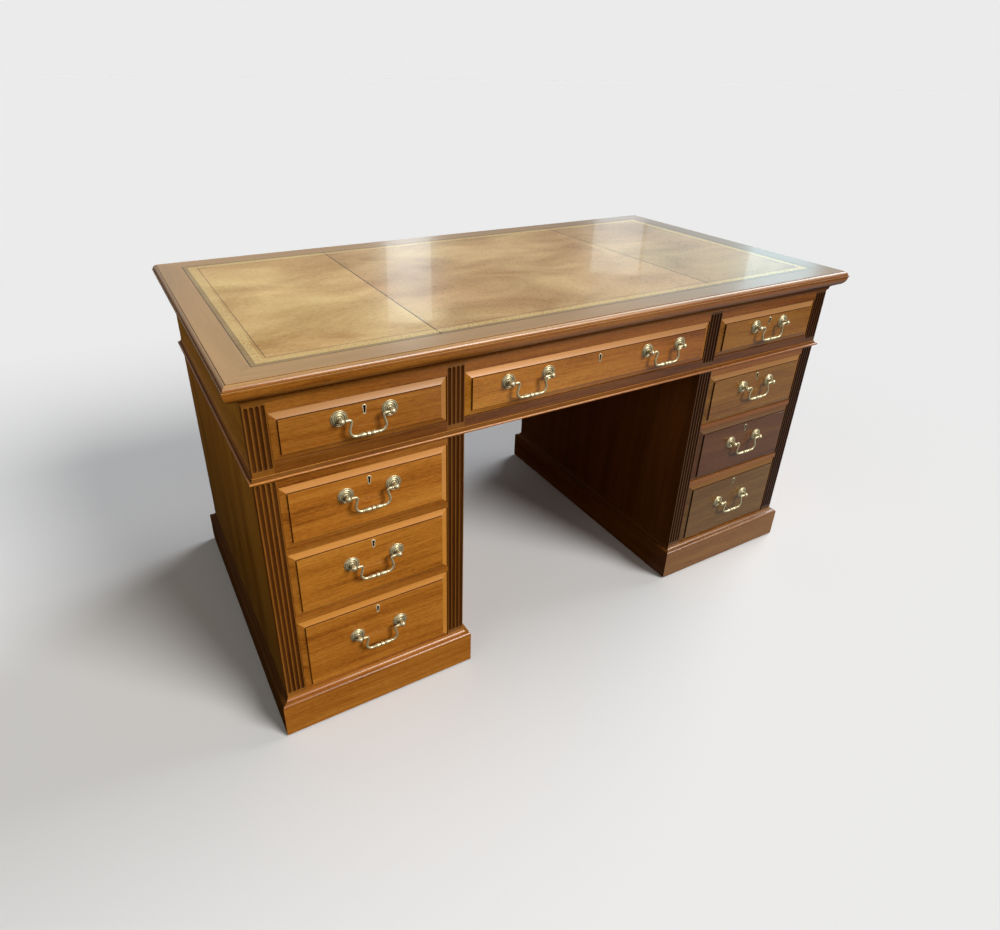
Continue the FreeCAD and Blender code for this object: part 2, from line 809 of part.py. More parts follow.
def keyhole_outline(middle, rim):
    """A round head, in short straight sides, over a straight leg, all drawn in by a rim."""
    head = f"(escutcheon_width / 2 - {rim})"
    leg = f"(escutcheon_leg / 2 - {rim})"
    head_at = f"(({middle}) + escutcheon_height / 2 - escutcheon_width / 2)"
    foot = f"({middle}) - escutcheon_height / 2 + {rim}"
    shoulder = f"{head_at} - sqrt({head} ^ 2 - {leg} ^ 2)"
    crown = [
        (f"{head} * cos({angle} deg)", f"{head_at} + {head} * sin({angle} deg)")
        for angle in range(0, 181, 45)
    ]
    return [(f"-{leg}", foot), (leg, foot), (leg, shoulder), *crown, (f"-{leg}", shoulder)]


def drawer_side(name, outer, inner, height):
    """A side with a groove for the bottom, as a section drawn out from front to back."""
    body = new_body(name)
    section = new_sketch(body, "XZ_Plane", f"{name}_section")
    way = 1 if value(outer) < value(inner) else -1
    groove = f"{inner} - {way} * groove_depth"
    corners = [
        (outer, "running_clearance"),
        (inner, "running_clearance"),
        (inner, "bottom_rise"),
        (groove, "bottom_rise"),
        (groove, "bottom_rise + drawer_bottom"),
        (inner, "bottom_rise + drawer_bottom"),
        (inner, f"{height} - box_drop"),
        (outer, f"{height} - box_drop"),
    ]
    draw(section, corners)
    pad(body, section, "drawer_depth - front_back + side_lap", reverse=True)
    return place(body, y="front_back - side_lap")


def drawer_box(name, width, height):
    half = f"(({width}) / 2 - drawer_gap)"
    inside = f"({half} - drawer_side)"
    held = f"({inside} + groove_depth - groove_clearance)"
    bottom_top = "bottom_rise + drawer_bottom"
    return gather(
        f"{name}_box",
        [
            drawer_side(f"{name}_left_side", f"-{half}", f"-{inside}", height),
            drawer_side(f"{name}_right_side", half, inside, height),
            board(
                f"{name}_back",
                (f"-{inside}", inside),
                ("drawer_depth - drawer_back", "drawer_depth"),
                (bottom_top, f"{height} - box_drop - back_drop"),
            ),
            board(
                f"{name}_bottom",
                (f"-{held}", held),
                ("front_back - groove_depth + groove_clearance", "drawer_depth"),
                ("bottom_rise", bottom_top),
            ),
        ],
    )


def lock_case(name, height):
    """The lock's brass case, let into the back of the front, with a channel for its bolt."""
    high = f"{height} - drawer_gap"
    middle = "front_back - lock_depth / 2"
    case = board(
        f"{name}_lock",
        ("-lock_width / 2", "lock_width / 2"),
        ("front_back - lock_depth", "front_back"),
        (f"{high} - lock_height", high),
    )
    half_width = "(bolt_width / 2 + bolt_clearance)"
    half_depth = "(bolt_thickness / 2 + bolt_clearance)"
    channel = board(
        f"{name}_bolt_channel",
        (f"-{half_width}", half_width),
        (f"{middle} - {half_depth}", f"{middle} + {half_depth}"),
        (f"{high} - bolt_length - bolt_clearance", high),
    )
    return cut(f"{name}_lock_case", case, channel)


def lock_bolt(name, height):
    high = f"{height} - drawer_gap"
    middle = "front_back - lock_depth / 2"
    return board(
        f"{name}_bolt",
        ("-bolt_width / 2", "bolt_width / 2"),
        (f"{middle} - bolt_thickness / 2", f"{middle} + bolt_thickness / 2"),
        (f"{high} - bolt_length", high),
    )


def escutcheon(name, height):
    body = new_body(f"{name}_escutcheon")
    middle = f"{height} - keyhole_drop"
    outer = new_sketch(body, "XZ_Plane", f"{name}_escutcheon_outer", "field_proud - escutcheon_depth")
    draw(outer, keyhole_outline(middle, "0"))
    pad(body, outer, "escutcheon_depth")
    inner = new_sketch(body, "XZ_Plane", f"{name}_escutcheon_inner", "field_proud")
    draw(inner, keyhole_outline(middle, "escutcheon_rim"))
    pocket(body, inner)
    return body


def build_rosette():
    """The turned plate behind each post."""
    radius = "rosette_diameter / 2"
    return turned(
        "rosette",
        "rosette_sides",
        [
            (radius, "0"),
            (radius, "rosette_rim"),
            ("rosette_ridge_diameter / 2", "rosette_ridge"),
            ("post_foot_diameter / 2", "rosette_boss"),
        ],
    )


def build_post():
    """A turned post whose head is bored from one side for the pin of the bail."""
    head = "head_diameter / 2"
    blank = turned(
        "post_blank",
        "post_sides",
        [
            ("post_foot_diameter / 2", "rosette_boss"),
            ("neck_diameter / 2", f"post_reach - {head}"),
            (head, "post_reach - head_band / 2"),
            (head, "post_reach + head_band / 2"),
            ("head_face_diameter / 2", f"post_reach + {head}"),
        ],
    )
    bore = doc.addObject("Part::Prism", "post_bore")
    bind(
        bore,
        Polygon="post_sides",
        Circumradius="(pin_diameter / 2 + pin_clearance) / cos(180 deg / post_sides)",
        Height=f"{head} + pin_past_centre + pin_clearance",
    )
    across = FreeCAD.Rotation(FreeCAD.Vector(0, 1, 0), 90)
    bore.Placement = FreeCAD.Placement(FreeCAD.Vector(), across)
    place(bore, x="-pin_past_centre - pin_clearance", z="post_reach")
    return cut("post", blank, bore)


def bail_stations():
    """Stations along half of the bail's wire, from its shoulder to its middle: place, heading and radius.

    The heading is how far the wire has turned from straight inwards to straight down.
    """
    rod, neck, heel = value("bail_rod / 2"), value("neck_radius"), value("heel_radius")
    neck_start, heel_end, drop = value("neck_start"), value("heel_end"), value("bail_drop")
    collar, grip_middle = value("collar_width / 2"), value("(grip_length + collar_width) / 4")
    stations = [(value("bail_shoulder"), 0, 0, rod)]
    steps = int(value("bend_steps"))
    headings = [math.radians(90 + value("neck_lean")) * step / steps for step in range(steps + 1)]
    for heading in headings:
        x = neck_start - neck * math.sin(heading)
        stations.append((x, neck * (math.cos(heading) - 1), heading, rod))
    for heading in reversed(headings):
        x = heel_end + heel * math.sin(heading)
        stations.append((x, heel * (1 - math.cos(heading)) - drop, heading, rod))
    stations += [
        (grip_middle, -drop, 0, value("grip_diameter / 2")),
        (collar + value("collar_neck"), -drop, 0, value("grip_waist / 2")),
        (collar, -drop, 0, value("collar_diameter / 2")),
    ]
    return stations


def build_bail():
    """A swan-neck bail about its pivot line: pins, necks, arms that lean out, heels and a turned grip."""
    sides = int(value("bail_sides"))
    half = bail_stations()
    mirrored = [(-x, z, -heading, radius) for x, z, heading, radius in reversed(half)]
    rings = []
    for x, z, heading, radius in half + mirrored:
        ring = []
        for number in range(sides):
            angle = 2 * math.pi * (number + 0.5) / sides
            out, along = radius * math.cos(angle), radius * math.sin(angle)
            ring.append(FreeCAD.Vector(x + out * math.sin(heading), along, z - out * math.cos(heading)))
        rings.append(ring)
    wire = ringed("bail_wire", rings)
    pins = []
    for side in (-1, 1):
        pin = doc.addObject("Part::Prism", "bail_pin")
        bind(
            pin,
            Polygon="post_sides",
            Circumradius="pin_diameter / 2",
            Height="post_spacing / 2 + pin_past_centre - bail_shoulder",
        )
        outwards = FreeCAD.Rotation(FreeCAD.Vector(0, 1, 0), 90 * side)
        pin.Placement = FreeCAD.Placement(FreeCAD.Vector(), outwards)
        pins.append(place(pin, x=f"{side} * bail_shoulder"))
    bail = doc.addObject("Part::MultiFuse", "bail")
    bail.Shapes = [wire, *pins]
    return bail


def build_drawer(name, middle, floor, width, height, handle_drop, handles, shapes):
    """One drawer with its fittings, lock bolt and bails; handles are places along the front."""
    where = {"x": middle, "y": "case_front", "z": floor}
    pivot_height = f"{height} - {handle_drop}"
    outward = FreeCAD.Rotation(FreeCAD.Vector(1, 0, 0), 90)
    turned_round = FreeCAD.Rotation(FreeCAD.Vector(0, 1, 0), 180) * outward
    rosette, post, bail = shapes
    fittings = [escutcheon(name, height), lock_case(name, height)]
    pieces = []
    for label, along in handles.items():
        for side, sign, rotation in (("left", "-", outward), ("right", "+", turned_round)):
            spot = {"x": f"{along} {sign} post_spacing / 2", "y": "-field_proud", "z": pivot_height}
            fittings.append(copy_of(f"{name}_{label}_{side}_rosette", rosette, outward, **spot))
            fittings.append(copy_of(f"{name}_{label}_{side}_post", post, rotation, **spot))
        pivot = {
            "x": f"({middle}) + ({along})",
            "y": "case_front - pivot_proud",
            "z": f"{floor} + {pivot_height}",
        }
        wire = copy_of(f"{name}_{label}_wire", bail, FreeCAD.Rotation(), **pivot)
        pieces.append(gather(f"{name}_{label}", [wire]))
    pieces.append(place(drawer_front(name, width, height), **where))
    pieces.append(place(drawer_box(name, width, height), **where))
    pieces.append(place(gather(f"{name}_fittings", fittings), **where))
    pieces.append(place(gather(f"{name}_lock_bolt", [lock_bolt(name, height)]), **where))
    return pieces


def build_drawers():
    shapes = (build_rosette(), build_post(), build_bail())
    middle_bail = {"bail": "0"}
    pair = {"left_bail": "-centre_handle_offset", "right_bail": "centre_handle_offset"}
    pieces = build_drawer(
        "centre_drawer",
        "0",
        "frieze_floor",
        "kneehole_width",
        "frieze_opening",
        "frieze_handle_drop",
        pair,
        shapes,
    )
    for side, sign in (("left", "-"), ("right", "")):
        for level in ("frieze", "upper", "middle", "lower"):
            pieces += build_drawer(
                f"{side}_{level}_drawer",
                f"{sign}opening_middle",
                f"{level}_floor",
                "drawer_opening",
                f"{level}_opening",
                f"{level}_handle_drop",
                middle_bail,
                shapes,
            )
    return pieces


def check(parts):
    """Stops at a failed feature, a cut that removes nothing, or a sub-part that isn't a sound solid."""
    for thing in doc.Objects:
        if {"Invalid", "Error"} & set(thing.State):
            raise RuntimeError(f"{thing.Name} failed: {thing.State}")
        if thing.TypeId == "PartDesign::Pocket":
            if thing.Shape.Volume >= thing.BaseFeature.Shape.Volume:
                raise RuntimeError(f"{thing.Name} cuts nothing")
    for thing in parts:
        if thing.Shape.isNull() or not thing.Shape.isValid() or not thing.Shape.Solids:
            raise RuntimeError(f"{thing.Label} has no sound solid")


def main():
    parts = build_top() + build_frieze_mouldings() + build_plinths() + build_cases()
    parts += [build_rails(), build_runners(), build_pilasters()]
    parts += build_drawers()
    doc.recompute()
    check(parts)
    os.makedirs("parts", exist_ok=True)
    for thing in parts:
        thing.Shape.exportStep(f"parts/{thing.Label}.step")
    print(f"{len(parts)} sub-parts, {sum(len(thing.Shape.Solids) for thing in parts)} solids")


main()
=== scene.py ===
"""Looks of a pedestal desk: polished hardwood, gilt-tooled leather and antique brass."""
import json
import math
import random
from collections import Counter
from functools import partial

import bmesh
import bpy
from bpy.props import FloatProperty, FloatVectorProperty, IntProperty, PointerProperty
from mathutils import Euler, Matrix, Vector
from mathutils.bvhtree import BVHTree

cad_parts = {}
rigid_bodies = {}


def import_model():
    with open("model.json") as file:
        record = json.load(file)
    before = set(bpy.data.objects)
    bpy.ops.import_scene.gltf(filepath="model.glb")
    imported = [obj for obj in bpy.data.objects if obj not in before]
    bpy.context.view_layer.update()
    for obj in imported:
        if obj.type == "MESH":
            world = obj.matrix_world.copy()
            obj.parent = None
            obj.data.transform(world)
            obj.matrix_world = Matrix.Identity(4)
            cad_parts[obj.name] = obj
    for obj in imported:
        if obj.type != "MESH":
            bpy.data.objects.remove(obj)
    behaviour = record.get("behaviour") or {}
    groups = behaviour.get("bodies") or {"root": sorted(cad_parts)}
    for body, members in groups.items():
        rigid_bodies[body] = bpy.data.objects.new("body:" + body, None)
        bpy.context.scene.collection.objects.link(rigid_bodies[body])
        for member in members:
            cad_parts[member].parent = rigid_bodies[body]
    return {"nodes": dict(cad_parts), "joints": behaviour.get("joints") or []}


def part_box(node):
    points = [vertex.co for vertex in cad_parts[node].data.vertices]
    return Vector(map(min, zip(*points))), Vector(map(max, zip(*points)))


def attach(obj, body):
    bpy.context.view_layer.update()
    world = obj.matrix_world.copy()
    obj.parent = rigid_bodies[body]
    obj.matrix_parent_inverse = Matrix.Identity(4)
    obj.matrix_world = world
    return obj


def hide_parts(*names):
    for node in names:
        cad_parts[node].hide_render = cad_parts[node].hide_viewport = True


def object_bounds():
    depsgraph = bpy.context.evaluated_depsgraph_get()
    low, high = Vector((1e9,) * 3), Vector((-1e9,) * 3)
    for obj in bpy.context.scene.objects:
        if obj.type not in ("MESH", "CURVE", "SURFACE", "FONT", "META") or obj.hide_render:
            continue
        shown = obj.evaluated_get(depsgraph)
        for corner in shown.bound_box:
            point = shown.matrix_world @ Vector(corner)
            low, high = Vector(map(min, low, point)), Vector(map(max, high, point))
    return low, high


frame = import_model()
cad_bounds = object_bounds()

bl_info = {
    "name": "Pedestal Desk Looks",
    "version": (1, 0, 0),
    "blender": (4, 5, 0),
    "location": "3D View > Sidebar > Desk",
    "description": "Builds the polished boards, leather, brass and stage of a pedestal desk",
    "category": "Object",
}

MM = 0.001
SIDES = ("left", "right")
DRAWERS = ["centre_drawer"] + [
    f"{side}_{tier}_drawer" for side in SIDES for tier in ("frieze", "upper", "middle", "lower")
]
BAILS = [j["child"] for j in frame["joints"] if j["name"].endswith("_bail_swing")]
# Edges that turn more than this count as corners.
CORNER = math.radians(25)
# Radius rubbed on the edges of the smaller pieces, and width of the old polish and painted shade in inner
# corners.
RADIUS = {"runner": 0.4 * MM, "skin": 0.35 * MM, "drawer": 0.5 * MM, "glide": 0.4 * MM}
RADIUS.update({"lock_case": 0.25 * MM, "lock_bolt": 0.4 * MM})
CASE_DIRT_AND_SHADE, FRONT_DIRT_AND_SHADE = 0.5 * MM, 1.4 * MM
# A drawer's side reaches into the front by more than this, and its dovetails have this gap all round.
LEAST_LAP, DOVETAIL_GAP = 5 * MM, 0.08 * MM
# How far rubbing bares an edge, also used as painted highlight on the lists between the flutes, and how much
# old polish and painted shade make a face dull.
WORN_AND_LIT, WAXED_AND_SHADED = 0.6, 0.3
# Among a drawer's fittings the escutcheon is narrower than this and reaches back past this plane, and the
# lock's case is wider than this.
ESCUTCHEON_WIDTH, ESCUTCHEON_BACK, LOCK_WIDTH = 12 * MM, -355 * MM, 40 * MM

# Fixed boards of the desk: which way the grain runs (None is along the longest side), then how light, how
# red and how faded they are.
BOARDS = {
    "top_frame": (None, (0.0, 0.1, 0.75)),
    "top_panel": (None, (-0.3, 0.0, 0.0)),
    "cornice_moulding": (None, (-0.15, 0.1, 0.0)),
    "waist_moulding": (None, (0.2, 0.0, 0.0)),
    "left_plinth": (None, (-0.05, 0.1, 0.0)),
    "right_plinth": (None, (-0.4, -0.1, 0.0)),
    "frieze_case": (None, (0.05, -0.05, 0.0)),
    "left_pedestal_case": (2, (0.1, -0.1, 0.0)),
    "right_pedestal_case": (2, (-0.05, 0.05, 0.0)),
    "drawer_rails": (None, (-0.1, 0.15, 0.0)),
}
# Boards that differ from the rest of their node, with painted light and shade: lighter left sides, a darker
# lower frieze rail and darker plinth and kneehole sides. The node, the corners of a box that holds them,
# their tone, how much painted shade (dull like old polish) lies on them, and how much painted shade darkens
# them at the foot.
LIT_AND_SHADED_BOARDS = (
    ("drawer_rails", (-1, -1, 0.575), (1, 1, 0.62), (-0.42, 0.3, 0.0), 0.0, 0.0),
    ("left_plinth", (-1, -1, 0), (-0.66, 1, 1), (-0.7, 0.0, 0.0), 0.5, 0.0),
    ("right_plinth", (0, -1, 0), (0.32, 1, 1), (-0.6, 0.3, 0.0), 0.4, 0.0),
    ("right_pedestal_case", (0, -1, 0), (0.33, 1, 1), (-0.5, 0.4, 0.0), 0.0, 0.2),
    ("left_pedestal_case", (-1, -1, 0), (-0.66, 1, 1), (1.0, -0.6, 0.0), 0.0, 1.4),
    ("frieze_case", (-1, -1, 0), (-0.66, 1, 1), (1.2, -0.6, 0.0), 0.0, 0.0),
)
# Painted shade: long boards, the pilasters and the centre drawer front darken and redden towards the right
# end
# of the desk, away from the light: how much.
DARKER_RIGHT = {
    "top_frame": 0.4,
    "cornice_moulding": 0.4,
    "waist_moulding": 0.35,
    "drawer_rails": 0.3,
    "centre_drawer_front": 1.35,
    "fluted_pilasters": 0.5,
}
# Hollows of the mouldings that hold old polish and painted shade: the node, the heights between which it
# lies, how much.
SHADED_HOLLOWS = (
    ("waist_moulding", 587 * MM, 592.6 * MM, 0.8),
    ("cornice_moulding", 724.4 * MM, 735.6 * MM, 0.3),
)
# Drawer fronts came from different boards, so each has its own tone; the right fronts are also darker, and
# the centre front lighter, as painted light and shade.
FRONT_TONES = {
    "centre_drawer": (0.82, -0.6, 0.0),
    "left_frieze_drawer": (-0.02, 0.15, 0.0),
    "left_upper_drawer": (0.2, 0.0, 0.0),
    "left_middle_drawer": (0.22, 0.0, 0.0),
    "left_lower_drawer": (0.12, 0.05, 0.0),
    "right_frieze_drawer": (-0.22, -0.2, 0.0),
    "right_upper_drawer": (-0.32, -0.35, 0.0),
    "right_middle_drawer": (-0.68, 0.5, 0.0),
    "right_lower_drawer": (-0.58, -0.55, 0.0),
}
PILASTER_TONE, RUNNER_TONE = (-0.35, 0.25, 0.0), (-0.25, 0.0, 0.0)
# The skins on the left, in the middle and on the right: how light and how red each one is.
SKIN_TONES = ((0.1, -0.1, 0.0), (-0.11, 0.1, 0.0), (-0.2, 0.0, 0.0))

# The camera, fitted to the desk's straight edges: its place in metres, its turn about x, y and z in degrees,
# its shift as a share of the picture, and the width of its sensor in millimetres.
CAMERA_PLACE = (-0.84398, -1.33296, 1.185)
CAMERA_TURN = (61.8812, -1.0692, -29.6742)
CAMERA_SHIFT = (0.02106, -0.03565)
SENSOR_WIDTH = 36
# How far the floor reaches each way, in metres.
FLOOR_REACH = 60
# Far lights: the setting with the strength, the width in degrees, the way it shines and the tint.
FAR_LIGHTS = (
    ("sun", 36, (-0.8, -0.15, -0.6), (0.94, 0.97, 1)),
    ("lamp", 28, (-0.42, 0.72, -0.55), (1, 0.98, 0.94)),
    ("bounce", 60, (0.8, 0.2, -0.5), (1, 0.9, 0.75)),
)
GLASS, SKY_BLUE = (0.82, 0.94, 1), (0.55, 0.86, 1)
# Bright panels that show only in the polish: where each hangs, the point it faces, its width and height,
# how many times as bright as the window setting it is, and its tint.
PANELS = (
    ("left_window", (1.17, 3.18, 1.65), (-0.2, 0.08, 0.77), (0.32, 0.8), 3, GLASS),
    ("middle_window", (3.05, 3.11, 1.6), (0.47, 0.17, 0.77), (0.4, 0.6), 2.4, GLASS),
    ("right_window", (3.74, 2, 1.7), (0.59, -0.28, 0.77), (0.5, 0.6), 4, SKY_BLUE),
    ("pale_curtain", (3.5, 2.6, 1.8), (0.4, -0.2, 0.77), (0.9, 0.8), 1.2, SKY_BLUE),
    ("pale_mat", (1.3, -1.2, 0.002), (1.3, -1.2, 1), (2.2, 1.8), 0.43, GLASS),
)


def linear(code):
    """Turn a colour as seen on a screen, such as #9A5B20, into the values the renderer works with."""
    channels = [int(code[i : i + 2], 16) / 255 for i in (1, 3, 5)]
    return tuple(c / 12.92 if c <= 0.04045 else ((c + 0.055) / 1.055) ** 2.4 for c in channels) + (1.0,)


def per_metre(size):
    """How many marks of a pattern lie in a metre, from the size of one mark in millimetres."""
    return 1 / (size * MM)


def colour(name, description, code):
    """Describe a colour setting."""
    return FloatVectorProperty(
        name=name, description=description, default=linear(code), size=4, min=0, max=1, subtype="COLOR"
    )


def length(name, description, default):
    """Describe a length setting in metres."""
    return FloatProperty(
        name=name, description=description, default=default, min=0, subtype="DISTANCE", unit="LENGTH"
    )


def share(name, description, default):
    """Describe a setting between none and full."""
    return FloatProperty(
        name=name, description=description, default=default, min=0, max=1, subtype="FACTOR"
    )


def strength(name, description, default):
    """Describe how strong a light is."""
    return FloatProperty(name=name, description=description, default=default, min=0)


class WoodSettings(bpy.types.PropertyGroup):
    """How the boards are cut and polished."""

    arris: length("Arris", "Radius rubbed on the free edges of the boards", 0.7 * MM)
    dark: colour("Dark", "Dark lines of the polished hardwood", "#7E4510")
    middle: colour("Middle", "Body colour of the polished hardwood", "#AA6820")
    light: colour("Light", "Light streaks of the polished hardwood", "#C28232")
    faded: colour("Faded", "Colour to which the light bleaches the hardwood", "#C2A16F")
    polish: share("Polish", "Roughness of the shellac polish", 0.3)
    wax: share("Wax", "Roughness of the old wax in the corners", 0.6)
    flutes: IntProperty(name="Flutes", description="Flutes on each pilaster", default=4, min=1)
    flute_width: length("Flute width", "Width of a flute", 7 * MM)
    flute_depth: length("Flute depth", "Depth of a flute", 2.8 * MM)
    flute_pitch: length("Flute pitch", "Distance between flutes", 8.6 * MM)


class LeatherSettings(bpy.types.PropertyGroup):
    """How the skins of the writing surface are stained and tooled."""

    dark: colour("Dark", "Dark clouds in the hide", "#A27330")
    light: colour("Light", "Rubbed light clouds in the hide", "#E6C283")
    gilt: colour("Gilt", "Gold leaf of the tooling", "#E6C983")
    margin: length("Margin", "Plain hide outside the gilt band", 10 * MM)
    margin_tint: colour("Margin tint", "Stain of the hide outside the gilt band", "#7C6A46")
    band: length("Band", "Width of the gilt band", 14 * MM)
    motif: length("Motif", "Length of one tool mark along the band", 4.7 * MM)
    line: length("Line", "Distance of the blind line from the edge", 30 * MM)
    seam: length("Seam", "Distance of the seams between the skins from the middle", 335 * MM)


class BrassSettings(bpy.types.PropertyGroup):
    """How the handles and locks are cast and aged."""

    bright: colour("Bright", "Brass of the handles", "#E2D6AE")
    dull: colour("Dull", "Tarnish in the hollows", "#4E4329")
    # On the escutcheons of the lit side this pale brass is also painted light.
    rubbed: colour("Rubbed", "Brass round the keyholes, which keys rub pale", "#F6E9C4")
    spread: length("Spread", "Distance between the two posts of a handle", 90 * MM)
    stand: length("Stand", "Distance of the bail from the drawer front", 14 * MM)


class StageSettings(bpy.types.PropertyGroup):
    """Camera, light and floor."""

    lens: FloatProperty(name="Lens", description="Focal length", default=24.548, unit="CAMERA")
    paper: colour("Paper", "Pale backdrop as the camera sees it", "#EBEBEB")
    floor: colour("Floor", "Pale floor as the camera sees it", "#EBECEE")
    boards: colour("Boards", "Dark floor of the room, which the desk reflects", "#2E2014")
    sun: strength("Sun", "Strength of the soft light from the right", 1.78)
    bounce: strength("Bounce", "Strength of the warm light from the left", 0.45)
    sky: strength("Sky", "Strength of the light from all round", 0.1)
    sheen: strength("Sheen", "Brightness of the room in the polish", 0.38)
    lamp: strength("Lamp", "Strength of the light from the front", 2.9)
    window: strength("Window", "Brightness of the windows in the polish", 0.8)


def need(*nodes):
    """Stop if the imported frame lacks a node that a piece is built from."""
    missing = [n for n in nodes if n not in frame["nodes"]]
    if missing:
        raise RuntimeError(f"the packed frame has no {', '.join(missing)}")


def solids(name):
    """Split a CAD node into its closed solids, each a list of faces given by their corners."""
    mesh = frame["nodes"][name].data
    spots, grid = {}, 0.02 * MM
    spot = [spots.setdefault(tuple(round(c / grid) for c in v.co), len(spots)) for v in mesh.vertices]
    found, faces, unpaired, waiting = [], [], Counter(), 0
    for face in mesh.polygons:
        faces.append([mesh.vertices[i].co.copy() for i in face.vertices])
        ring = [spot[i] for i in face.vertices]
        for a, b in zip(ring, ring[1:] + ring[:1]):
            if unpaired[b, a]:
                unpaired[b, a] -= 1
                waiting -= 1
            else:
                unpaired[a, b] += 1
                waiting += 1
        if not waiting:
            found.append(faces)
            faces = []
    if faces:
        raise RuntimeError(f"{name} is not closed")
    return found


def extent(faces):
    """Lowest and highest corner of a solid."""
    corners = [c for face in faces for c in face]
    return Vector(map(min, *corners)), Vector(map(max, *corners))


def solid_mesh(faces):
    """One solid with its corners merged and its flat faces made whole."""
    bm = bmesh.new()
    for corners in faces:
        bm.faces.new([bm.verts.new(c) for c in corners])
    bmesh.ops.remove_doubles(bm, verts=bm.verts, dist=0.01 * MM)
    bmesh.ops.dissolve_limit(bm, angle_limit=math.radians(1), verts=bm.verts, edges=bm.edges)
    bmesh.ops.recalc_face_normals(bm, faces=bm.faces)
    return bm


def box_mesh(low, high):
    """A plain block between two corners."""
    bm = bmesh.new()
    shape = Matrix.Translation((low + high) / 2) @ Matrix.Diagonal([*(high - low), 1])
    bmesh.ops.create_cube(bm, size=1, matrix=shape)
    return bm


def neighbours(nodes):
    """A test that tells whether an edge of one solid lies against another solid of the same nodes."""
    corners, faces, owners = [], [], []
    for node in nodes:
        for number, solid in enumerate(solids(node)):
            for face in solid:
                faces.append(range(len(corners), len(corners) + len(face)))
                corners += face
                owners.append((node, number))
    tree = BVHTree.FromPolygons(corners, [list(f) for f in faces])

    def touches(owner, edge):
        clear, reach = 0.25 * MM, 0.35 * MM
        out = sum((f.normal for f in edge.link_faces), Vector()).normalized() * clear
        start, end = (v.co for v in edge.verts)
        hits = 0
        for part in (0.2, 0.5, 0.8):
            near = tree.find_nearest_range(start.lerp(end, part) + out, reach)
            hits += any(owners[index] != owner for _, _, index, _ in near)
        return hits > 1

    return touches


def rub_edges(bm, width, against=lambda edge: False, dirt_and_shade=0.0):
    """Round the free outer edges, as rubbing down does, and fill the inner corners with old polish and
    painted shade.

    The rounded strips are marked as worn and the filled ones as grime and painted shade.
    """
    wear = bm.faces.layers.float.new("wear")
    grime = bm.faces.layers.float.new("grime")
    shape = {"affect": "EDGES", "profile": 0.5, "clamp_overlap": True, "material": -1}

    def corners(least):
        return [e for e in bm.edges if e.calc_face_angle(0) > CORNER and e.calc_length() > least]

    # Painted shade and old polish in the inner corners.
    if dirt_and_shade:
        inner = [e for e in corners(3 * dirt_and_shade) if not e.is_convex]
        for face in bmesh.ops.bevel(bm, geom=inner, offset=dirt_and_shade, segments=1, **shape)["faces"]:
            face[grime] = 1
    free = [e for e in corners(3 * width) if e.is_convex and not against(e)]
    for face in bmesh.ops.bevel(bm, geom=free, offset=width, segments=2, **shape)["faces"]:
        face[wear] = WORN_AND_LIT
        face[grime] = 0


def lay_grain(bm, seed, tone=(0, 0, 0), along=None, foot=0.0, right=0.0):
    """Place a board in its tree, so that the grain runs along it and no two boards look alike.

    The tone is how light, how red and how faded it is. As painted shade it is darker by foot at its lower
    end, and darker and redder by right at the right end of the desk.
    """
    # Boards lie up to 9 m apart in the tree, lean by up to 1.5 degrees and differ a little in tone.
    apart, lean, differ = 9, 1.5, 0.06
    pick = random.Random(seed)
    size = [max(v.co[a] for v in bm.verts) - min(v.co[a] for v in bm.verts) for a in range(3)]
    if along is None:
        along = size.index(max(size))
    order = [along] + [a for a in range(3) if a != along]
    place = Matrix.Translation([pick.uniform(-apart, apart) for _ in range(3)])
    sway, dip = [math.radians(pick.uniform(-lean, lean)) for _ in range(2)]
    turn = Matrix.Rotation(sway, 4, "Z") @ Matrix.Rotation(dip, 4, "Y")
    grain = bm.verts.layers.float_vector.new("grain")
    tint = bm.verts.layers.float_vector.new("tone")
    shade = Vector([*(t + pick.uniform(-differ, differ) for t in tone[:2]), tone[2]])
    top, end = max(v.co.z for v in bm.verts), cad_bounds[1][0]
    for v in bm.verts:
        down, across = (top - v.co.z) / size[2], (v.co.x + end) / (2 * end)
        v[grain] = place @ turn @ Vector([v.co[a] for a in order])
        # Painted shade: darker by foot towards the lower end, and darker and redder by right towards the
        # right end.
        v[tint] = shade + Vector((-foot * down - right * across, right * across, 0))


def join(parts):
    """Put several meshes into one, each still a separate solid."""
    whole = bmesh.new()
    for bm in parts:
        part = bpy.data.meshes.new("part")
        bm.to_mesh(part)
        bm.free()
        whole.from_mesh(part)
        bpy.data.meshes.remove(part)
    return whole


def carve(bm, cutter):
    """Cut one mesh out of another."""
    meshes = [bpy.data.meshes.new(word) for word in ("blank", "cutter")]
    for mesh, source in zip(meshes, (bm, cutter)):
        source.to_mesh(mesh)
        source.free()
    blank, tool = (bpy.data.objects.new(mesh.name, mesh) for mesh in meshes)
    for thing in (blank, tool):
        bpy.context.scene.collection.objects.link(thing)
    cut = blank.modifiers.new("cut", "BOOLEAN")
    cut.object = tool
    cut.solver = "EXACT"
    done = blank.evaluated_get(bpy.context.evaluated_depsgraph_get())
    meshes.append(bpy.data.meshes.new_from_object(done))
    made = bmesh.new()
    made.from_mesh(meshes[-1])
    for thing in (blank, tool):
        bpy.data.objects.remove(thing)
    for mesh in meshes:
        bpy.data.meshes.remove(mesh)
    return made


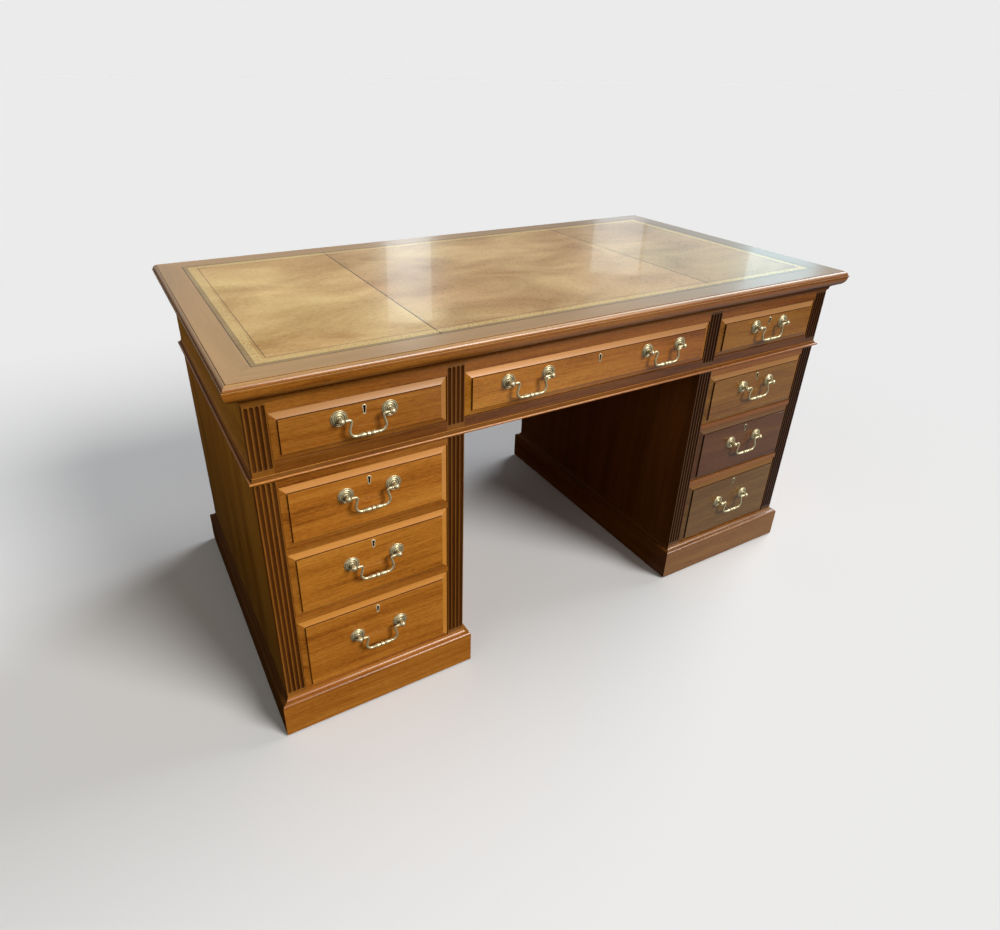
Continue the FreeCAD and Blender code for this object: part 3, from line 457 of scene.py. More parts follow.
def piece(name, bm, materials, body, nodes, sharp=32):
    """Make one visible piece that rides on a body of the frame and stands for its nodes.

    Where it has two materials, the second one is for the faces that hold old wax and painted shade.
    """
    grime = bm.faces.layers.float.get("grime")
    for face in bm.faces if len(materials) > 1 else ():
        face.material_index = int(face[grime] > WAXED_AND_SHADED)
    mesh = bpy.data.meshes.new(name)
    bm.to_mesh(mesh)
    bm.free()
    mesh.shade_smooth()
    mesh.set_sharp_from_angle(angle=math.radians(sharp))
    for material in materials:
        mesh.materials.append(material)
    made = bpy.data.objects.new(name, mesh)
    bpy.context.scene.collection.objects.link(made)
    evener = made.modifiers.new("even_shading", "WEIGHTED_NORMAL")
    evener.keep_sharp = True
    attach(made, body)
    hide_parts(*nodes)


def add(tree, kind, links=None, stops=(), **settings):
    """Add one node: its settings, what goes into its sockets, and any colour stops.

    A socket takes a value, another socket, or a node's outputs, of which it takes the first one in use.
    """
    made = tree.nodes.new(f"ShaderNode{kind}")
    for name, value in settings.items():
        setattr(made, name, value)
    for name, value in (links or {}).items():
        if isinstance(value, bpy.types.bpy_prop_collection):
            value = next(socket for socket in value if socket.enabled)
        if isinstance(value, bpy.types.NodeSocket):
            tree.links.new(value, made.inputs[name])
        else:
            made.inputs[name].default_value = value
    for number, (position, shade) in enumerate(stops):
        ramp = made.color_ramp.elements
        stop = ramp[number] if number < 2 else ramp.new(position)
        stop.position = position
        stop.color = shade
    return made.outputs


def new_material(name):
    """An empty material, and the function that adds its nodes."""
    made = bpy.data.materials.new(name)
    made.use_nodes = True
    made.node_tree.nodes.clear()
    return made, partial(add, made.node_tree)


def shifted(node, body, lightness, redness, red):
    """Make a colour lighter by a factor, and redder or greener by a share of what full red adds."""
    body = node("VectorMath", {0: body, "Scale": lightness}, operation="SCALE")
    red = node("VectorMath", {0: red, "Scale": redness}, operation="SCALE")
    red = node("VectorMath", {0: red, 1: (1, 1, 1)}, operation="ADD")
    return node("VectorMath", {0: body, 1: red}, operation="MULTIPLY")


def wood(name, dark, middle, light, faded, roughness, coat, shine, pore_depth):
    """Hardwood: the eye sees long streaks, fine lines and short dark pores along each board."""
    made, node = new_material(name)
    grain = node("Attribute", attribute_name="grain")["Vector"]
    tone = node("Attribute", attribute_name="tone")["Vector"]
    wear = node("Attribute", attribute_name="wear")["Fac"]
    grime = node("Attribute", attribute_name="grime")["Fac"]

    # The streaks wander by a few millimetres over half a metre.
    slow = node("Mapping", {"Vector": grain, "Scale": [per_metre(s) for s in (454.5, 111.1, 111.1)]})
    drift = node("TexNoise", {"Vector": slow, "Scale": 1, "Detail": 2})["Color"]
    sway = (0, 16 * MM, 16 * MM)
    bent = node("VectorMath", {0: drift, 1: sway, 2: grain}, operation="MULTIPLY_ADD")

    # Broad figure, fine lines, short flecks, and pores drawn coarser than real ones so that they show: the
    # length and width of a mark in millimetres, its detail and how much it swirls.
    patterns = []
    marks = ((555.6, 40, 4, 0.5), (166.7, 4.348, 3, 0), (9.091, 1.613, 2, 0), (16.67, 0.6667, 1, 0))
    for long, wide, detail, swirl in marks:
        spaced = node("Mapping", {"Vector": bent, "Scale": [per_metre(s) for s in (long, wide, wide)]})
        pattern = {"Vector": spaced, "Scale": 1, "Detail": detail, "Distortion": swirl}
        patterns.append(node("TexNoise", pattern))
    figure, lines, flecks, specks = patterns
    mixed = 0.0
    for pattern, part in ((lines, 0.3), (figure, 0.48), (flecks, 0.26)):
        mixed = node("Math", {0: pattern, 1: part, 2: mixed}, operation="MULTIPLY_ADD")
    body = node("ValToRGB", {"Fac": mixed}, ((0.36, dark), (0.66, light), (0.5, middle)))
    pores = node("MapRange", {"Value": specks, "From Min": 0.58, "From Max": 0.7, "To Max": pore_depth})
    body = node("Mix", {"Factor": pores, "A": body, "B": linear("#000000")}, data_type="RGBA")

    # The tone of each board: lighter or darker, then redder or greener.
    shade = node("SeparateXYZ", {"Vector": tone})
    scaled = node("Math", {0: shade["X"], 1: 1.0}, operation="ADD")
    body = shifted(node, body, scaled, shade["Y"], (0.12, -0.22, -0.1))

    # Light bleaches what faces up.
    facing = node("SeparateXYZ", {"Vector": node("NewGeometry")["Normal"]})["Z"]
    bleached = node("MapRange", {"Value": facing, "From Min": 0.35, "From Max": 0.95})
    bleached = node("Math", {0: bleached, 1: shade["Z"]}, operation="MULTIPLY")
    streaked = node("MapRange", {"Value": mixed, "From Min": 0.35, "From Max": 0.65, "To Min": 0.82})
    streaked = node("Math", {0: streaked, 1: scaled}, operation="MULTIPLY")
    pale = node("VectorMath", {0: faded[:3], "Scale": streaked}, operation="SCALE")
    body = node("Mix", {"Factor": bleached, "A": body, "B": pale}, data_type="RGBA")

    # Rubbed edges let a paler wood show; on the upper and right bevels of the fronts and on the lists
    # between the flutes this paler wood is also a painted highlight.
    worn_and_lit = node("Math", {0: wear, 1: 0.8}, operation="MULTIPLY")
    bared_and_lit = node("VectorMath", {0: light[:3], "Scale": scaled}, operation="SCALE")
    body = node("Mix", {"Factor": worn_and_lit, "A": body, "B": bared_and_lit}, data_type="RGBA")
    # Old polish and dust, and painted shade, darken the corners, the hollows, the steps beside the fields
    # and the flutes.
    kept = node("Math", {0: grime, 1: 0.8}, operation="MULTIPLY")
    body = node("Mix", {"Factor": kept, "A": body, "B": linear("#1E0E05")}, data_type="RGBA")
    gloss = node("MapRange", {"Value": lines, "To Min": roughness - 0.06, "To Max": roughness + 0.1})
    relief = node("Bump", {"Strength": 0.12, "Distance": 0.1 * MM, "Height": specks})
    looks = {"Base Color": body, "Roughness": gloss, "Normal": relief}
    polish = {"Specular IOR Level": shine, "Coat Weight": coat, "Coat Roughness": 0.2}
    surface = node("BsdfPrincipled", {**looks, **polish})
    node("OutputMaterial", {"Surface": surface})
    return made


def tooled_hide(settings):
    """Stained hide with gold tooling: the eye sees soft clouds, a granular gold band and a dark line."""
    made, node = new_material("tooled_hide")
    place = node("TexCoord")["Object"]
    tone = node("Attribute", attribute_name="tone")["Vector"]
    shade = node("SeparateXYZ", {"Vector": tone})

    # Clouds of stain, drawn out along the desk, with small grains in them.
    broad = node("Mapping", {"Vector": place, "Scale": [per_metre(s) for s in (200, 125, 1000)]})
    clouds = node("TexNoise", {"Vector": broad, "Scale": 1, "Detail": 7, "Distortion": 0.6})
    thin = node("Mapping", {"Vector": place, "Scale": [per_metre(s) for s in (9.091, 3.125, 1000)]})
    grains = node("TexNoise", {"Vector": thin, "Scale": 1, "Detail": 4, "Roughness": 0.6})
    mixed = node("Math", {0: grains, 1: 0.28}, operation="MULTIPLY")
    mixed = node("Math", {0: clouds, 1: 0.72, 2: mixed}, operation="MULTIPLY_ADD")
    hide = node("ValToRGB", {"Fac": mixed}, ((0.32, settings.dark), (0.66, settings.light)))

    # The stain itself turns from olive to plum in patches.
    apart = {"Location": (3, 7, 0), "Scale": [per_metre(s) for s in (250, 166.7, 1000)]}
    patches = node("Mapping", {"Vector": place, **apart})
    patches = node("TexNoise", {"Vector": patches, "Scale": 1, "Detail": 3})
    turn = node("Math", {0: patches, 1: 0.9, 2: -0.45}, operation="MULTIPLY_ADD")
    turn = node("Math", {0: turn, 1: shade["Y"]}, operation="ADD")
    scaled = node("Math", {0: shade["X"], 1: 1.0}, operation="ADD")
    hide = shifted(node, hide, scaled, turn, (0.12, -0.15, 0.05))

    # Distance in from the edge of the leather, and distance along that edge.
    low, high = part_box("leather_skins")
    spread = node("VectorMath", {0: place}, operation="ABSOLUTE")
    inside = node("VectorMath", {0: tuple(high), 1: spread}, operation="SUBTRACT")
    inside = node("SeparateXYZ", {"Vector": inside})
    edge = node("Math", {0: inside["X"], 1: inside["Y"]}, operation="MINIMUM")
    end = node("Math", {0: inside["X"], 1: inside["Y"]}, operation="LESS_THAN")
    across = node("SeparateXYZ", {"Vector": place})
    run = node("Mix", {"Factor": end, "A": across["X"], "B": across["Y"]})

    # Gold: a band of small tool marks, rubbed thin in places, with a solid fillet along each side.
    middle = settings.margin + settings.band / 2
    offset = node("Math", {0: edge, 1: middle}, operation="SUBTRACT")
    offset = node("Math", {0: offset}, operation="ABSOLUTE")
    side, fillet, mark = settings.band / 2, 0.7 * MM, settings.motif / 2
    rail = node("Math", {0: offset, 1: side - fillet, 2: fillet}, operation="COMPARE")
    wave = node("Math", {0: run, 1: mark}, operation="PINGPONG")
    bands = node("Math", {0: offset, 1: mark}, operation="PINGPONG")
    leaf = node("Math", {0: wave, 1: bands}, operation="ADD")
    leaf = node("Math", {0: leaf, 1: mark, 2: 0.72 * mark}, operation="COMPARE")
    within = node("Math", {0: offset, 1: side}, operation="LESS_THAN")
    leaf = node("Math", {0: leaf, 1: within}, operation="MULTIPLY")
    gilt = node("Math", {0: rail, 1: leaf}, operation="MAXIMUM")
    rubbed = node("TexNoise", {"Vector": place, "Scale": per_metre(3.846), "Detail": 2})
    kept = node("MapRange", {"Value": rubbed, "From Min": 0.4, "From Max": 0.56, "To Min": 0.1})
    gilt = node("Math", {0: gilt, 1: kept}, operation="MULTIPLY")
    outer = node("Math", {0: edge, 1: settings.margin}, operation="LESS_THAN")
    outer = node("Math", {0: outer, 1: 0.65}, operation="MULTIPLY")
    hide = node("Mix", {"Factor": outer, "A": hide, "B": settings.margin_tint}, data_type="RGBA")
    blind = node("Math", {0: edge, 1: settings.line, 2: 0.6 * MM}, operation="COMPARE")
    rim = node("Math", {0: edge, 1: 1.6 * MM}, operation="LESS_THAN")
    ink = node("Math", {0: blind, 1: rim}, operation="MAXIMUM")
    apart = node("SeparateXYZ", {"Vector": spread})["X"]
    seam = node("Math", {0: apart, 1: settings.seam, 2: 1.3 * MM}, operation="COMPARE")
    ink = node("Math", {0: ink, 1: seam}, operation="MAXIMUM")
    ink = node("Math", {0: ink, 1: 0.9}, operation="MULTIPLY")
    hide = node("Mix", {"Factor": ink, "A": hide, "B": linear("#1D160D")}, data_type="RGBA")
    hide = node("Mix", {"Factor": gilt, "A": hide, "B": settings.gilt}, data_type="RGBA")

    metal = node("Math", {0: gilt, 1: 0.3}, operation="MULTIPLY")
    pebble = node("TexNoise", {"Vector": place, "Scale": per_metre(1.429), "Detail": 2})
    gloss = node("MapRange", {"Value": grains, "To Min": 0.2, "To Max": 0.4})
    relief = node("Bump", {"Strength": 0.08, "Distance": 0.1 * MM, "Height": pebble})
    looks = {"Base Color": hide, "Metallic": metal, "Roughness": gloss, "Normal": relief}
    surface = node("BsdfPrincipled", {**looks, "Coat Weight": 0.15})
    node("OutputMaterial", {"Surface": surface})
    return made


def brass(name, bright, dull, metallic):
    """Old cast brass: the eye sees a pale rubbed metal with dark tarnish left in the hollows."""
    made, node = new_material(name)
    place = node("TexCoord")["Object"]
    hollow = node("Attribute", attribute_name="hollow")["Fac"]
    clouds = node("TexNoise", {"Vector": place, "Scale": per_metre(6.25), "Detail": 3})
    patches = node("MapRange", {"Value": clouds, "From Min": 0.45, "From Max": 0.75, "To Max": 0.35})
    tarnish = node("Math", {0: hollow, 1: patches}, operation="MAXIMUM")
    metal = node("Mix", {"Factor": tarnish, "A": bright, "B": dull}, data_type="RGBA")
    gloss = node("MapRange", {"Value": tarnish, "To Min": 0.34, "To Max": 0.6})
    looks = {"Base Color": metal, "Metallic": metallic, "Roughness": gloss}
    surface = node("BsdfPrincipled", looks)
    node("OutputMaterial", {"Surface": surface})
    return made


def pale_nylon():
    """Moulded nylon of the glides: the eye sees a matt off-white."""
    made, node = new_material("pale_nylon")
    place = node("TexCoord")["Object"]
    scuffs = node("TexNoise", {"Vector": place, "Scale": per_metre(3.333), "Detail": 3})
    stops = ((0.35, linear("#B5AE9E")), (0.65, linear("#D2CCBD")))
    body = node("ValToRGB", {"Fac": scuffs}, stops)
    surface = node("BsdfPrincipled", {"Base Color": body, "Roughness": 0.6})
    node("OutputMaterial", {"Surface": surface})
    return made


def finish_of(name):
    """The finish with that name, made the first time it is asked for."""
    scene = bpy.context.scene
    look = scene.desk_wood
    if name in bpy.data.materials:
        return bpy.data.materials[name]
    shades = (look.dark, look.middle, look.light, look.faded)
    if name == "polished_hardwood":
        return wood(name, *shades, look.polish, coat=0.4, shine=0.5, pore_depth=0.35)
    if name == "waxed_hardwood":
        return wood(name, *shades, look.wax, coat=0.0, shine=0.1, pore_depth=0.35)
    if name == "planed_oak":
        shades = [linear(code) for code in ("#7A5A36", "#A98558", "#C3A276", "#B59870")]
        return wood(name, *shades, roughness=0.62, coat=0.0, shine=0.5, pore_depth=0.45)
    if name == "tooled_hide":
        return tooled_hide(scene.desk_leather)
    if name == "antique_brass":
        return brass(name, scene.desk_brass.bright, scene.desk_brass.dull, metallic=0.65)
    if name == "rubbed_brass":
        return brass(name, scene.desk_brass.rubbed, scene.desk_brass.dull, metallic=0.3)
    if name == "pale_nylon":
        return pale_nylon()
    raise RuntimeError(f"there is no finish named {name}")


def polished():
    """The finishes of a polished board: its bright faces, then its hollows with old wax and painted shade.
    """
    return [finish_of("polished_hardwood"), finish_of("waxed_hardwood")]


def spun(profile, steps, hollows, spread):
    """Turn a profile of radii and heights in millimetres about its axis, with its top to the front.

    Tarnish lies in the hollows and thins out over the spread.
    """
    bm = bmesh.new()
    verts = [bm.verts.new((r * MM, 0, h * MM)) for r, h in profile]
    edges = [bm.edges.new(pair) for pair in zip(verts, verts[1:])]
    about = {"axis": (0, 0, 1), "cent": (0, 0, 0), "angle": math.tau}
    bmesh.ops.spin(bm, geom=verts + edges, steps=steps, use_merge=True, **about)
    bmesh.ops.remove_doubles(bm, verts=bm.verts, dist=0.005 * MM)
    bmesh.ops.recalc_face_normals(bm, faces=bm.faces)
    hollow = bm.verts.layers.float.new("hollow")
    for v in bm.verts:
        spot = Vector((v.co.xy.length, v.co.z)) / MM
        near = min((spot - Vector(h)).length for h in hollows)
        v[hollow] = max(0.0, 1 - near / spread)
    bmesh.ops.transform(bm, matrix=Matrix.Rotation(math.radians(90), 4, "X"), verts=bm.verts)
    return bm


def rod(bm, sides, radius, depth, aim):
    """Add a rod with that many sides, its radius and depth in millimetres."""
    size = {"radius1": radius * MM, "radius2": radius * MM, "depth": depth * MM}
    bmesh.ops.create_cone(bm, cap_ends=True, segments=sides, matrix=aim, **size)


def rosette():
    """A ringed rosette on the drawer front, with its face towards the front."""
    rings = (
        (0, 0), (14.6, 0), (15, 0.4), (14.9, 1.1), (14.4, 1.55), (13.8, 1.6), (13.3, 1.3), (13, 0.95),
        (12.7, 1.2), (12.3, 2.1), (11.7, 2.75), (11, 3), (10.2, 2.8), (9.6, 2.2), (9.2, 1.5), (8.9, 1.3),
        (8.5, 1.5), (7.8, 2.1), (7, 2.4), (6.1, 2.3), (5.4, 2), (5.1, 2.2), (4.6, 3.2), (4.2, 3.85),
        (3.6, 4), (0, 4),
    )  # fmt: skip
    return spun(rings, steps=48, hollows=((13, 0.95), (9, 1.3), (5.3, 2)), spread=1.1)


def post(bore):
    """A ball post, bored from one side for the pin of the bail: bore is 1 or -1 along the desk."""
    ball, reach, drill_middle = 5.5, 14, 4
    outline = [(0, 4), (3.4, 4), (3.2, 4.4), (2.9, 5.2), (2.8, 7.4)]
    outline += [(3.1, 8), (3.7, 8.3), (3.7, 8.8), (3.2, 9.1)]
    for step in range(36, 180, 12):
        a = math.radians(step)
        outline.append((ball * math.sin(a), reach - ball * math.cos(a)))
    outline.append((0, reach + ball))
    bm = spun(outline, steps=40, hollows=((2.9, 5), (3.2, 9.1)), spread=1.3)
    drill = bmesh.new()
    at = Vector((bore * drill_middle, -reach, 0)) * MM
    aim = Matrix.Translation(at) @ Matrix.Rotation(math.radians(90), 4, "Y")
    rod(drill, sides=24, radius=1.9, depth=12.6, aim=aim)
    return carve(bm, drill)


def bail_stations():
    """Half of the bail, from its pin to the middle of the grip, in millimetres and degrees.

    Each station is how far along the desk and how far up it is, its radius and its heading.
    """
    neck, heel, drop, bend = 4, 11, 32, 105
    pin = ((47, 1.3), (46.8, 1.6), (39.4, 1.6), (39.1, 1.8))
    collar = ((39.1, 2.9), (38.6, 3.2), (37.6, 3.2), (37.1, 2.7), (36.3, 2.5))
    grip = (
        (19.6, 2.65), (19.1, 3.1), (18.4, 3.25), (17.8, 3), (17.4, 2.7), (16, 2.9), (14, 3.3), (12, 3.65),
        (10.2, 3.8), (8.6, 3.7), (7, 3.4), (5.6, 3), (4.6, 2.85), (3.9, 2.9), (3.4, 3.1), (3, 3.7),
        (2.5, 4), (1.8, 4.1), (0, 4.1),
    )  # fmt: skip
    half = [(x, 0, r, 0) for x, r in pin + collar]
    for step in range(0, bend + 1, 15):
        h = math.radians(step)
        half.append((32.5 - neck * math.sin(h), neck * (math.cos(h) - 1), 2.5 - 0.2 * step / bend, step))
    for step in range(bend, -1, -15):
        h = math.radians(step)
        up = heel * (1 - math.cos(h)) - drop
        half.append((21.526 + heel * math.sin(h), up, 2.3 + 0.3 * (1 - step / bend), step))
    half += [(x, -drop, r, 0) for x, r in grip]
    return half


def bail():
    """A swan-neck bail with a turned grip, swinging about the desk's length at the origin."""
    grooves = (17.4, 3.9, 4.6, 37.1, 39.1)
    half = bail_stations()
    mirrored = [(-x, z, r, -heading) for x, z, r, heading in reversed(half[:-1])]
    bm = bmesh.new()
    hollow = bm.verts.layers.float.new("hollow")
    ring = None
    for x, z, r, heading in half + mirrored:
        turn = Matrix.Rotation(math.radians(90 - heading), 4, "Y")
        at = Matrix.Translation((x * MM, 0, z * MM)) @ turn
        made = bmesh.ops.create_circle(bm, segments=18, radius=r * MM, matrix=at)["verts"]
        for v in made:
            v[hollow] = 0.8 if abs(x) in grooves else 0.0
        edges = list({e for v in made for e in v.link_edges})
        if ring:
            bmesh.ops.bridge_loops(bm, edges=ring + edges)
        else:
            bmesh.ops.contextual_create(bm, geom=edges)
        ring = edges
    bmesh.ops.contextual_create(bm, geom=ring)
    bmesh.ops.recalc_face_normals(bm, faces=bm.faces)
    return bm


def moved(bm, where):
    """A copy of a mesh, moved."""
    copy = bm.copy()
    bmesh.ops.translate(copy, verts=copy.verts, vec=where)
    return copy


def fluted_board(faces, settings):
    """A pilaster: a board with round-ended flutes in its face, as high as the ones of the solid."""
    low, high = extent(faces)
    bm = bmesh.new()
    grime = bm.faces.layers.float.new("grime")
    wide, deep = settings.flute_width / 2, settings.flute_depth
    radius = (wide**2 + deep**2) / (2 * deep)
    middle = (low.x + high.x) / 2
    ends = [c.z for face in faces for c in face if low.z + MM < c.z < high.z - MM]
    bottom, top = min(ends) + wide, max(ends) - wide
    cells, bend = settings.flutes, range(0, 181, 20)
    for number in range(cells):
        x = middle + (number - (cells - 1) / 2) * settings.flute_pitch
        left = low.x if number == 0 else x - settings.flute_pitch / 2
        right = high.x if number == cells - 1 else x + settings.flute_pitch / 2
        # A flute is a row of loops from its rim to its deepest line, and painted shade makes it darker the
        # deeper it is.
        loops = []
        for part in (1, 0.86, 0.66, 0.4, 0.12):
            half = wide * part
            sunk = low.y + math.sqrt(radius**2 - half**2) - (radius - deep)
            loop = []
            for end, start in ((top, 0), (bottom, 180)):
                for step in bend:
                    a = math.radians(start + step)
                    loop.append(bm.verts.new((x + half * math.cos(a), sunk, end + half * math.sin(a))))
            loops.append(loop)
        for depth, (outer, inner) in enumerate(zip(loops, loops[1:])):
            for i in range(len(outer)):
                j = (i + 1) % len(outer)
                bm.faces.new((outer[i], outer[j], inner[j], inner[i]))[grime] = 0.25 + 0.2 * depth
        bm.faces.new(loops[-1])[grime] = 1
        over, under = loops[0][: len(bend)], loops[0][len(bend) :]
        corners = ((right, low.z), (right, high.z), (left, high.z), (left, low.z))
        a, b, c, d = (bm.verts.new((cx, low.y, cz)) for cx, cz in corners)
        bm.faces.new((a, b, over[0], under[-1]))
        bm.faces.new((b, c, *reversed(over)))
        bm.faces.new((c, d, under[0], over[-1]))
        bm.faces.new((d, a, *reversed(under)))
    bmesh.ops.remove_doubles(bm, verts=bm.verts, dist=0.005 * MM)
    rim = [e for e in bm.edges if e.is_boundary]
    back = bmesh.ops.extrude_edge_only(bm, edges=rim)["geom"]
    verts = [g for g in back if isinstance(g, bmesh.types.BMVert)]
    bmesh.ops.translate(bm, verts=verts, vec=(0, high.y - low.y, 0))
    bmesh.ops.contextual_create(bm, geom=[g for g in back if isinstance(g, bmesh.types.BMEdge)])
    bmesh.ops.recalc_face_normals(bm, faces=bm.faces)
    return bm


def mark_front_light_and_shade(bm):
    """Mark a fielded front: its upper and right bevels get a painted highlight, and the steps beside the
    field get painted shade.
    """
    wear, grime = bm.faces.layers.float["wear"], bm.faces.layers.float["grime"]
    field = min(v.co.y for v in bm.verts)
    for face in bm.faces:
        depth = face.calc_center_median().y - field
        # A bevel faces mostly to the front, and the step beside the field is less than 3 mm deep. The upper
        # and right bevels get a painted highlight and the side steps get painted shade.
        if face.normal.y < -0.8 and max(face.normal.x, face.normal.z) > 0.2:
            face[wear] = 1
        elif abs(face.normal.x) > 0.9 and depth < 3 * MM:
            face[grime] = 0.65


def pins(low, high, shoulder, gap):
    """The front's dovetail pins in the end of a drawer side, from its low y to the shoulder line."""
    spacing, narrow, broad = 30 * MM, 1.6 * MM, 3.2 * MM
    count = max(2, round((high.z - low.z) / spacing))
    bm = bmesh.new()
    for number in range(count + 1):
        middle = low.z + (high.z - low.z) * number / count
        corners = []
        for y, z in ((low.y, -narrow), (shoulder, -broad), (shoulder, broad), (low.y, narrow)):
            z = middle + z - math.copysign(gap, z)
            corners.append(bm.verts.new((low.x, y, min(max(z, low.z), high.z))))
        face = bm.faces.new(corners)
        end = bmesh.ops.extrude_face_region(bm, geom=[face])["geom"]
        end = [g for g in end if isinstance(g, bmesh.types.BMVert)]
        bmesh.ops.translate(bm, verts=end, vec=(high.x - low.x, 0, 0))
    bmesh.ops.recalc_face_normals(bm, faces=bm.faces)
    return bm


def keyhole_ring():
    """A keyhole escutcheon about the middle of its height, its face to the front and a little domed."""
    head, half_height, half_leg = 4.5, 9, 2.6
    bm = bmesh.new()
    tarnished = bm.verts.layers.float.new("hollow")
    rings = []
    # Round the bead's section, from the back of its outer wall to the back of its inner one.
    for inset, out in ((0, 3.5), (0, 0), (0.3, -0.5), (1, -0.8), (1.7, -0.5), (2, 0), (2, 3.5)):
        ring = []
        for step in range(-45, 226, 15):
            a = math.radians(step)
            ring.append(((head - inset) * math.cos(a), head + (head - inset) * math.sin(a)))
        leg, foot = half_leg - 0.7 * inset, inset - half_height
        ring += [(-leg, foot), (leg, foot)]
        rings.append([bm.verts.new((x * MM, out * MM, z * MM)) for x, z in ring])
    for v in rings[-2] + rings[-1]:
        v[tarnished] = 1
    for near, far in zip(rings, rings[1:] + rings[:1]):
        for i in range(len(near)):
            j = (i + 1) % len(near)
            bm.faces.new((near[i], near[j], far[j], far[i]))
    bmesh.ops.recalc_face_normals(bm, faces=bm.faces)
    return bm


def nut():
    """A nut on the end of a post's shank, seen inside the drawer."""
    bm = bmesh.new()
    aim = Matrix.Rotation(math.radians(90), 4, "X")
    # The nut, then the end of the shank in it: sides, radius and depth.
    for sides, radius, depth in ((6, 5.2, 1.1), (16, 2, 1.5)):
        rod(bm, sides, radius, depth, Matrix.Translation((0, depth / 2 * MM, 0)) @ aim)
    return bm


class DESK_OT_carcass(bpy.types.Operator):
    """Build the polished boards of the top, the cases, the mouldings and the plinths."""

    bl_idname = "desk.carcass"
    bl_label = "Polished Boards"

    def execute(self, context):
        beside = [*BOARDS, "drawer_runners", "leather_skins", "fluted_pilasters"]
        need(*beside)
        touches = neighbours(beside)
        arris = context.scene.desk_wood.arris
        for node, (along, plain) in BOARDS.items():
            parts = []
            for number, faces in enumerate(solids(node)):
                tone, foot = plain, 0.0
                bm = solid_mesh(faces)
                rub_edges(bm, arris, partial(touches, (node, number)), CASE_DIRT_AND_SHADE)
                wear, grime = bm.faces.layers.float["wear"], bm.faces.layers.float["grime"]
                # Painted shade in the hollows of the mouldings.
                for shaded_node, floor, roof, amount in SHADED_HOLLOWS:
                    for face in bm.faces if shaded_node == node else ():
                        if floor < face.calc_center_median().z < roof and not face[wear]:
                            face[grime] = amount
                low, high = extent(faces)
                # Boards with painted light and shade: their tone, painted shade on their faces and painted
                # shade at the foot.
                for other, near, far, shade, painted_shade_amount, painted_foot_shade in LIT_AND_SHADED_BOARDS:
                    if other == node and all(n < a and b < f for n, a, b, f in zip(near, low, high, far)):
                        tone, foot = shade, painted_foot_shade
                        for face in bm.faces:
                            face[grime] = max(face[grime], painted_shade_amount)
                lay_grain(bm, f"{node} {number}", tone, along, foot, DARKER_RIGHT.get(node, 0.0))
                parts.append(bm)
            piece(f"polished_{node}", join(parts), polished(), "desk", [node])
        parts = []
        for number, faces in enumerate(solids("drawer_runners")):
            bm = solid_mesh(faces)
            rub_edges(bm, RADIUS["runner"], partial(touches, ("drawer_runners", number)))
            lay_grain(bm, f"runner {number}", RUNNER_TONE)
            parts.append(bm)
        oak = [finish_of("planed_oak")]
        piece("planed_drawer_runners", join(parts), oak, "desk", ["drawer_runners"])
        return {"FINISHED"}


class DESK_OT_pilasters(bpy.types.Operator):
    """Build the fluted pilasters of the front."""

    bl_idname = "desk.pilasters"
    bl_label = "Fluted Pilasters"

    def execute(self, context):
        need("fluted_pilasters")
        parts = []
        for number, faces in enumerate(solids("fluted_pilasters")):
            bm = fluted_board(faces, context.scene.desk_wood)
            wear, grime = bm.faces.layers.float.new("wear"), bm.faces.layers.float["grime"]
            # The lists between the flutes are rubbed pale, as wear and painted highlight, and dust and
            # painted shade lie in the lower ends of the flutes.
            for face in bm.faces:
                face[wear] = WORN_AND_LIT if face.normal.y < -0.9 and not face[grime] else 0.0
                if face[grime] and face.normal.z > 0.3:
                    face[grime] = 1
            darker = DARKER_RIGHT["fluted_pilasters"]
            lay_grain(bm, f"pilaster {number}", PILASTER_TONE, along=2, right=darker)
            parts.append(bm)
        nodes = ["fluted_pilasters"]
        piece("polished_pilasters", join(parts), polished(), "desk", nodes, sharp=40)
        return {"FINISHED"}


class DESK_OT_leather(bpy.types.Operator):
    """Build the three skins of tooled leather."""

    bl_idname = "desk.leather"
    bl_label = "Tooled Leather"

    def execute(self, context):
        need("leather_skins")
        parts = []
        for faces in solids("leather_skins"):
            low, high = extent(faces)
            bm = box_mesh(low, high)
            rub_edges(bm, RADIUS["skin"])
            tone = bm.verts.layers.float_vector.new("tone")
            for v in bm.verts:
                v[tone] = SKIN_TONES[(low.x > 0) + (high.x > 0)]
            parts.append(bm)
        hide = [finish_of("tooled_hide")]
        piece("tooled_leather", join(parts), hide, "desk", ["leather_skins"])
        return {"FINISHED"}


class DESK_OT_drawers(bpy.types.Operator):
    """Build the fielded drawer fronts and the drawer boxes."""

    bl_idname = "desk.drawers"
    bl_label = "Drawers"

    def execute(self, context):
        for drawer in DRAWERS:
            front, box = f"{drawer}_front", f"{drawer}_box"
            need(front, box)
            touches = neighbours([front, box])
            (faces,) = solids(front)
            bm = solid_mesh(faces)
            rub_edges(bm, RADIUS["drawer"], partial(touches, (front, 0)), FRONT_DIRT_AND_SHADE)
            mark_front_light_and_shade(bm)
            lay_grain(bm, front, FRONT_TONES[drawer], 0, right=DARKER_RIGHT.get(front, 0.0))
            fronts, parts = [bm], []
            shoulder = extent(faces)[1].y
            for number, faces in enumerate(solids(box)):
                bm = solid_mesh(faces)
                rub_edges(bm, RADIUS["drawer"], partial(touches, (box, number)))
                low, high = extent(faces)
                if low.y < shoulder - LEAST_LAP:
                    bm = carve(bm, pins(low, high, shoulder, 0.0))
                    fronts.append(pins(low, high, shoulder, DOVETAIL_GAP))
                    lay_grain(fronts[-1], f"{front} {number}", FRONT_TONES[drawer], 0)
                lay_grain(bm, f"{box} {number}")
                parts.append(bm)
            piece(f"polished_{front}", join(fronts), polished(), drawer, [front])
            piece(f"planed_{box}", join(parts), [finish_of("planed_oak")], drawer, [box])
        return {"FINISHED"}


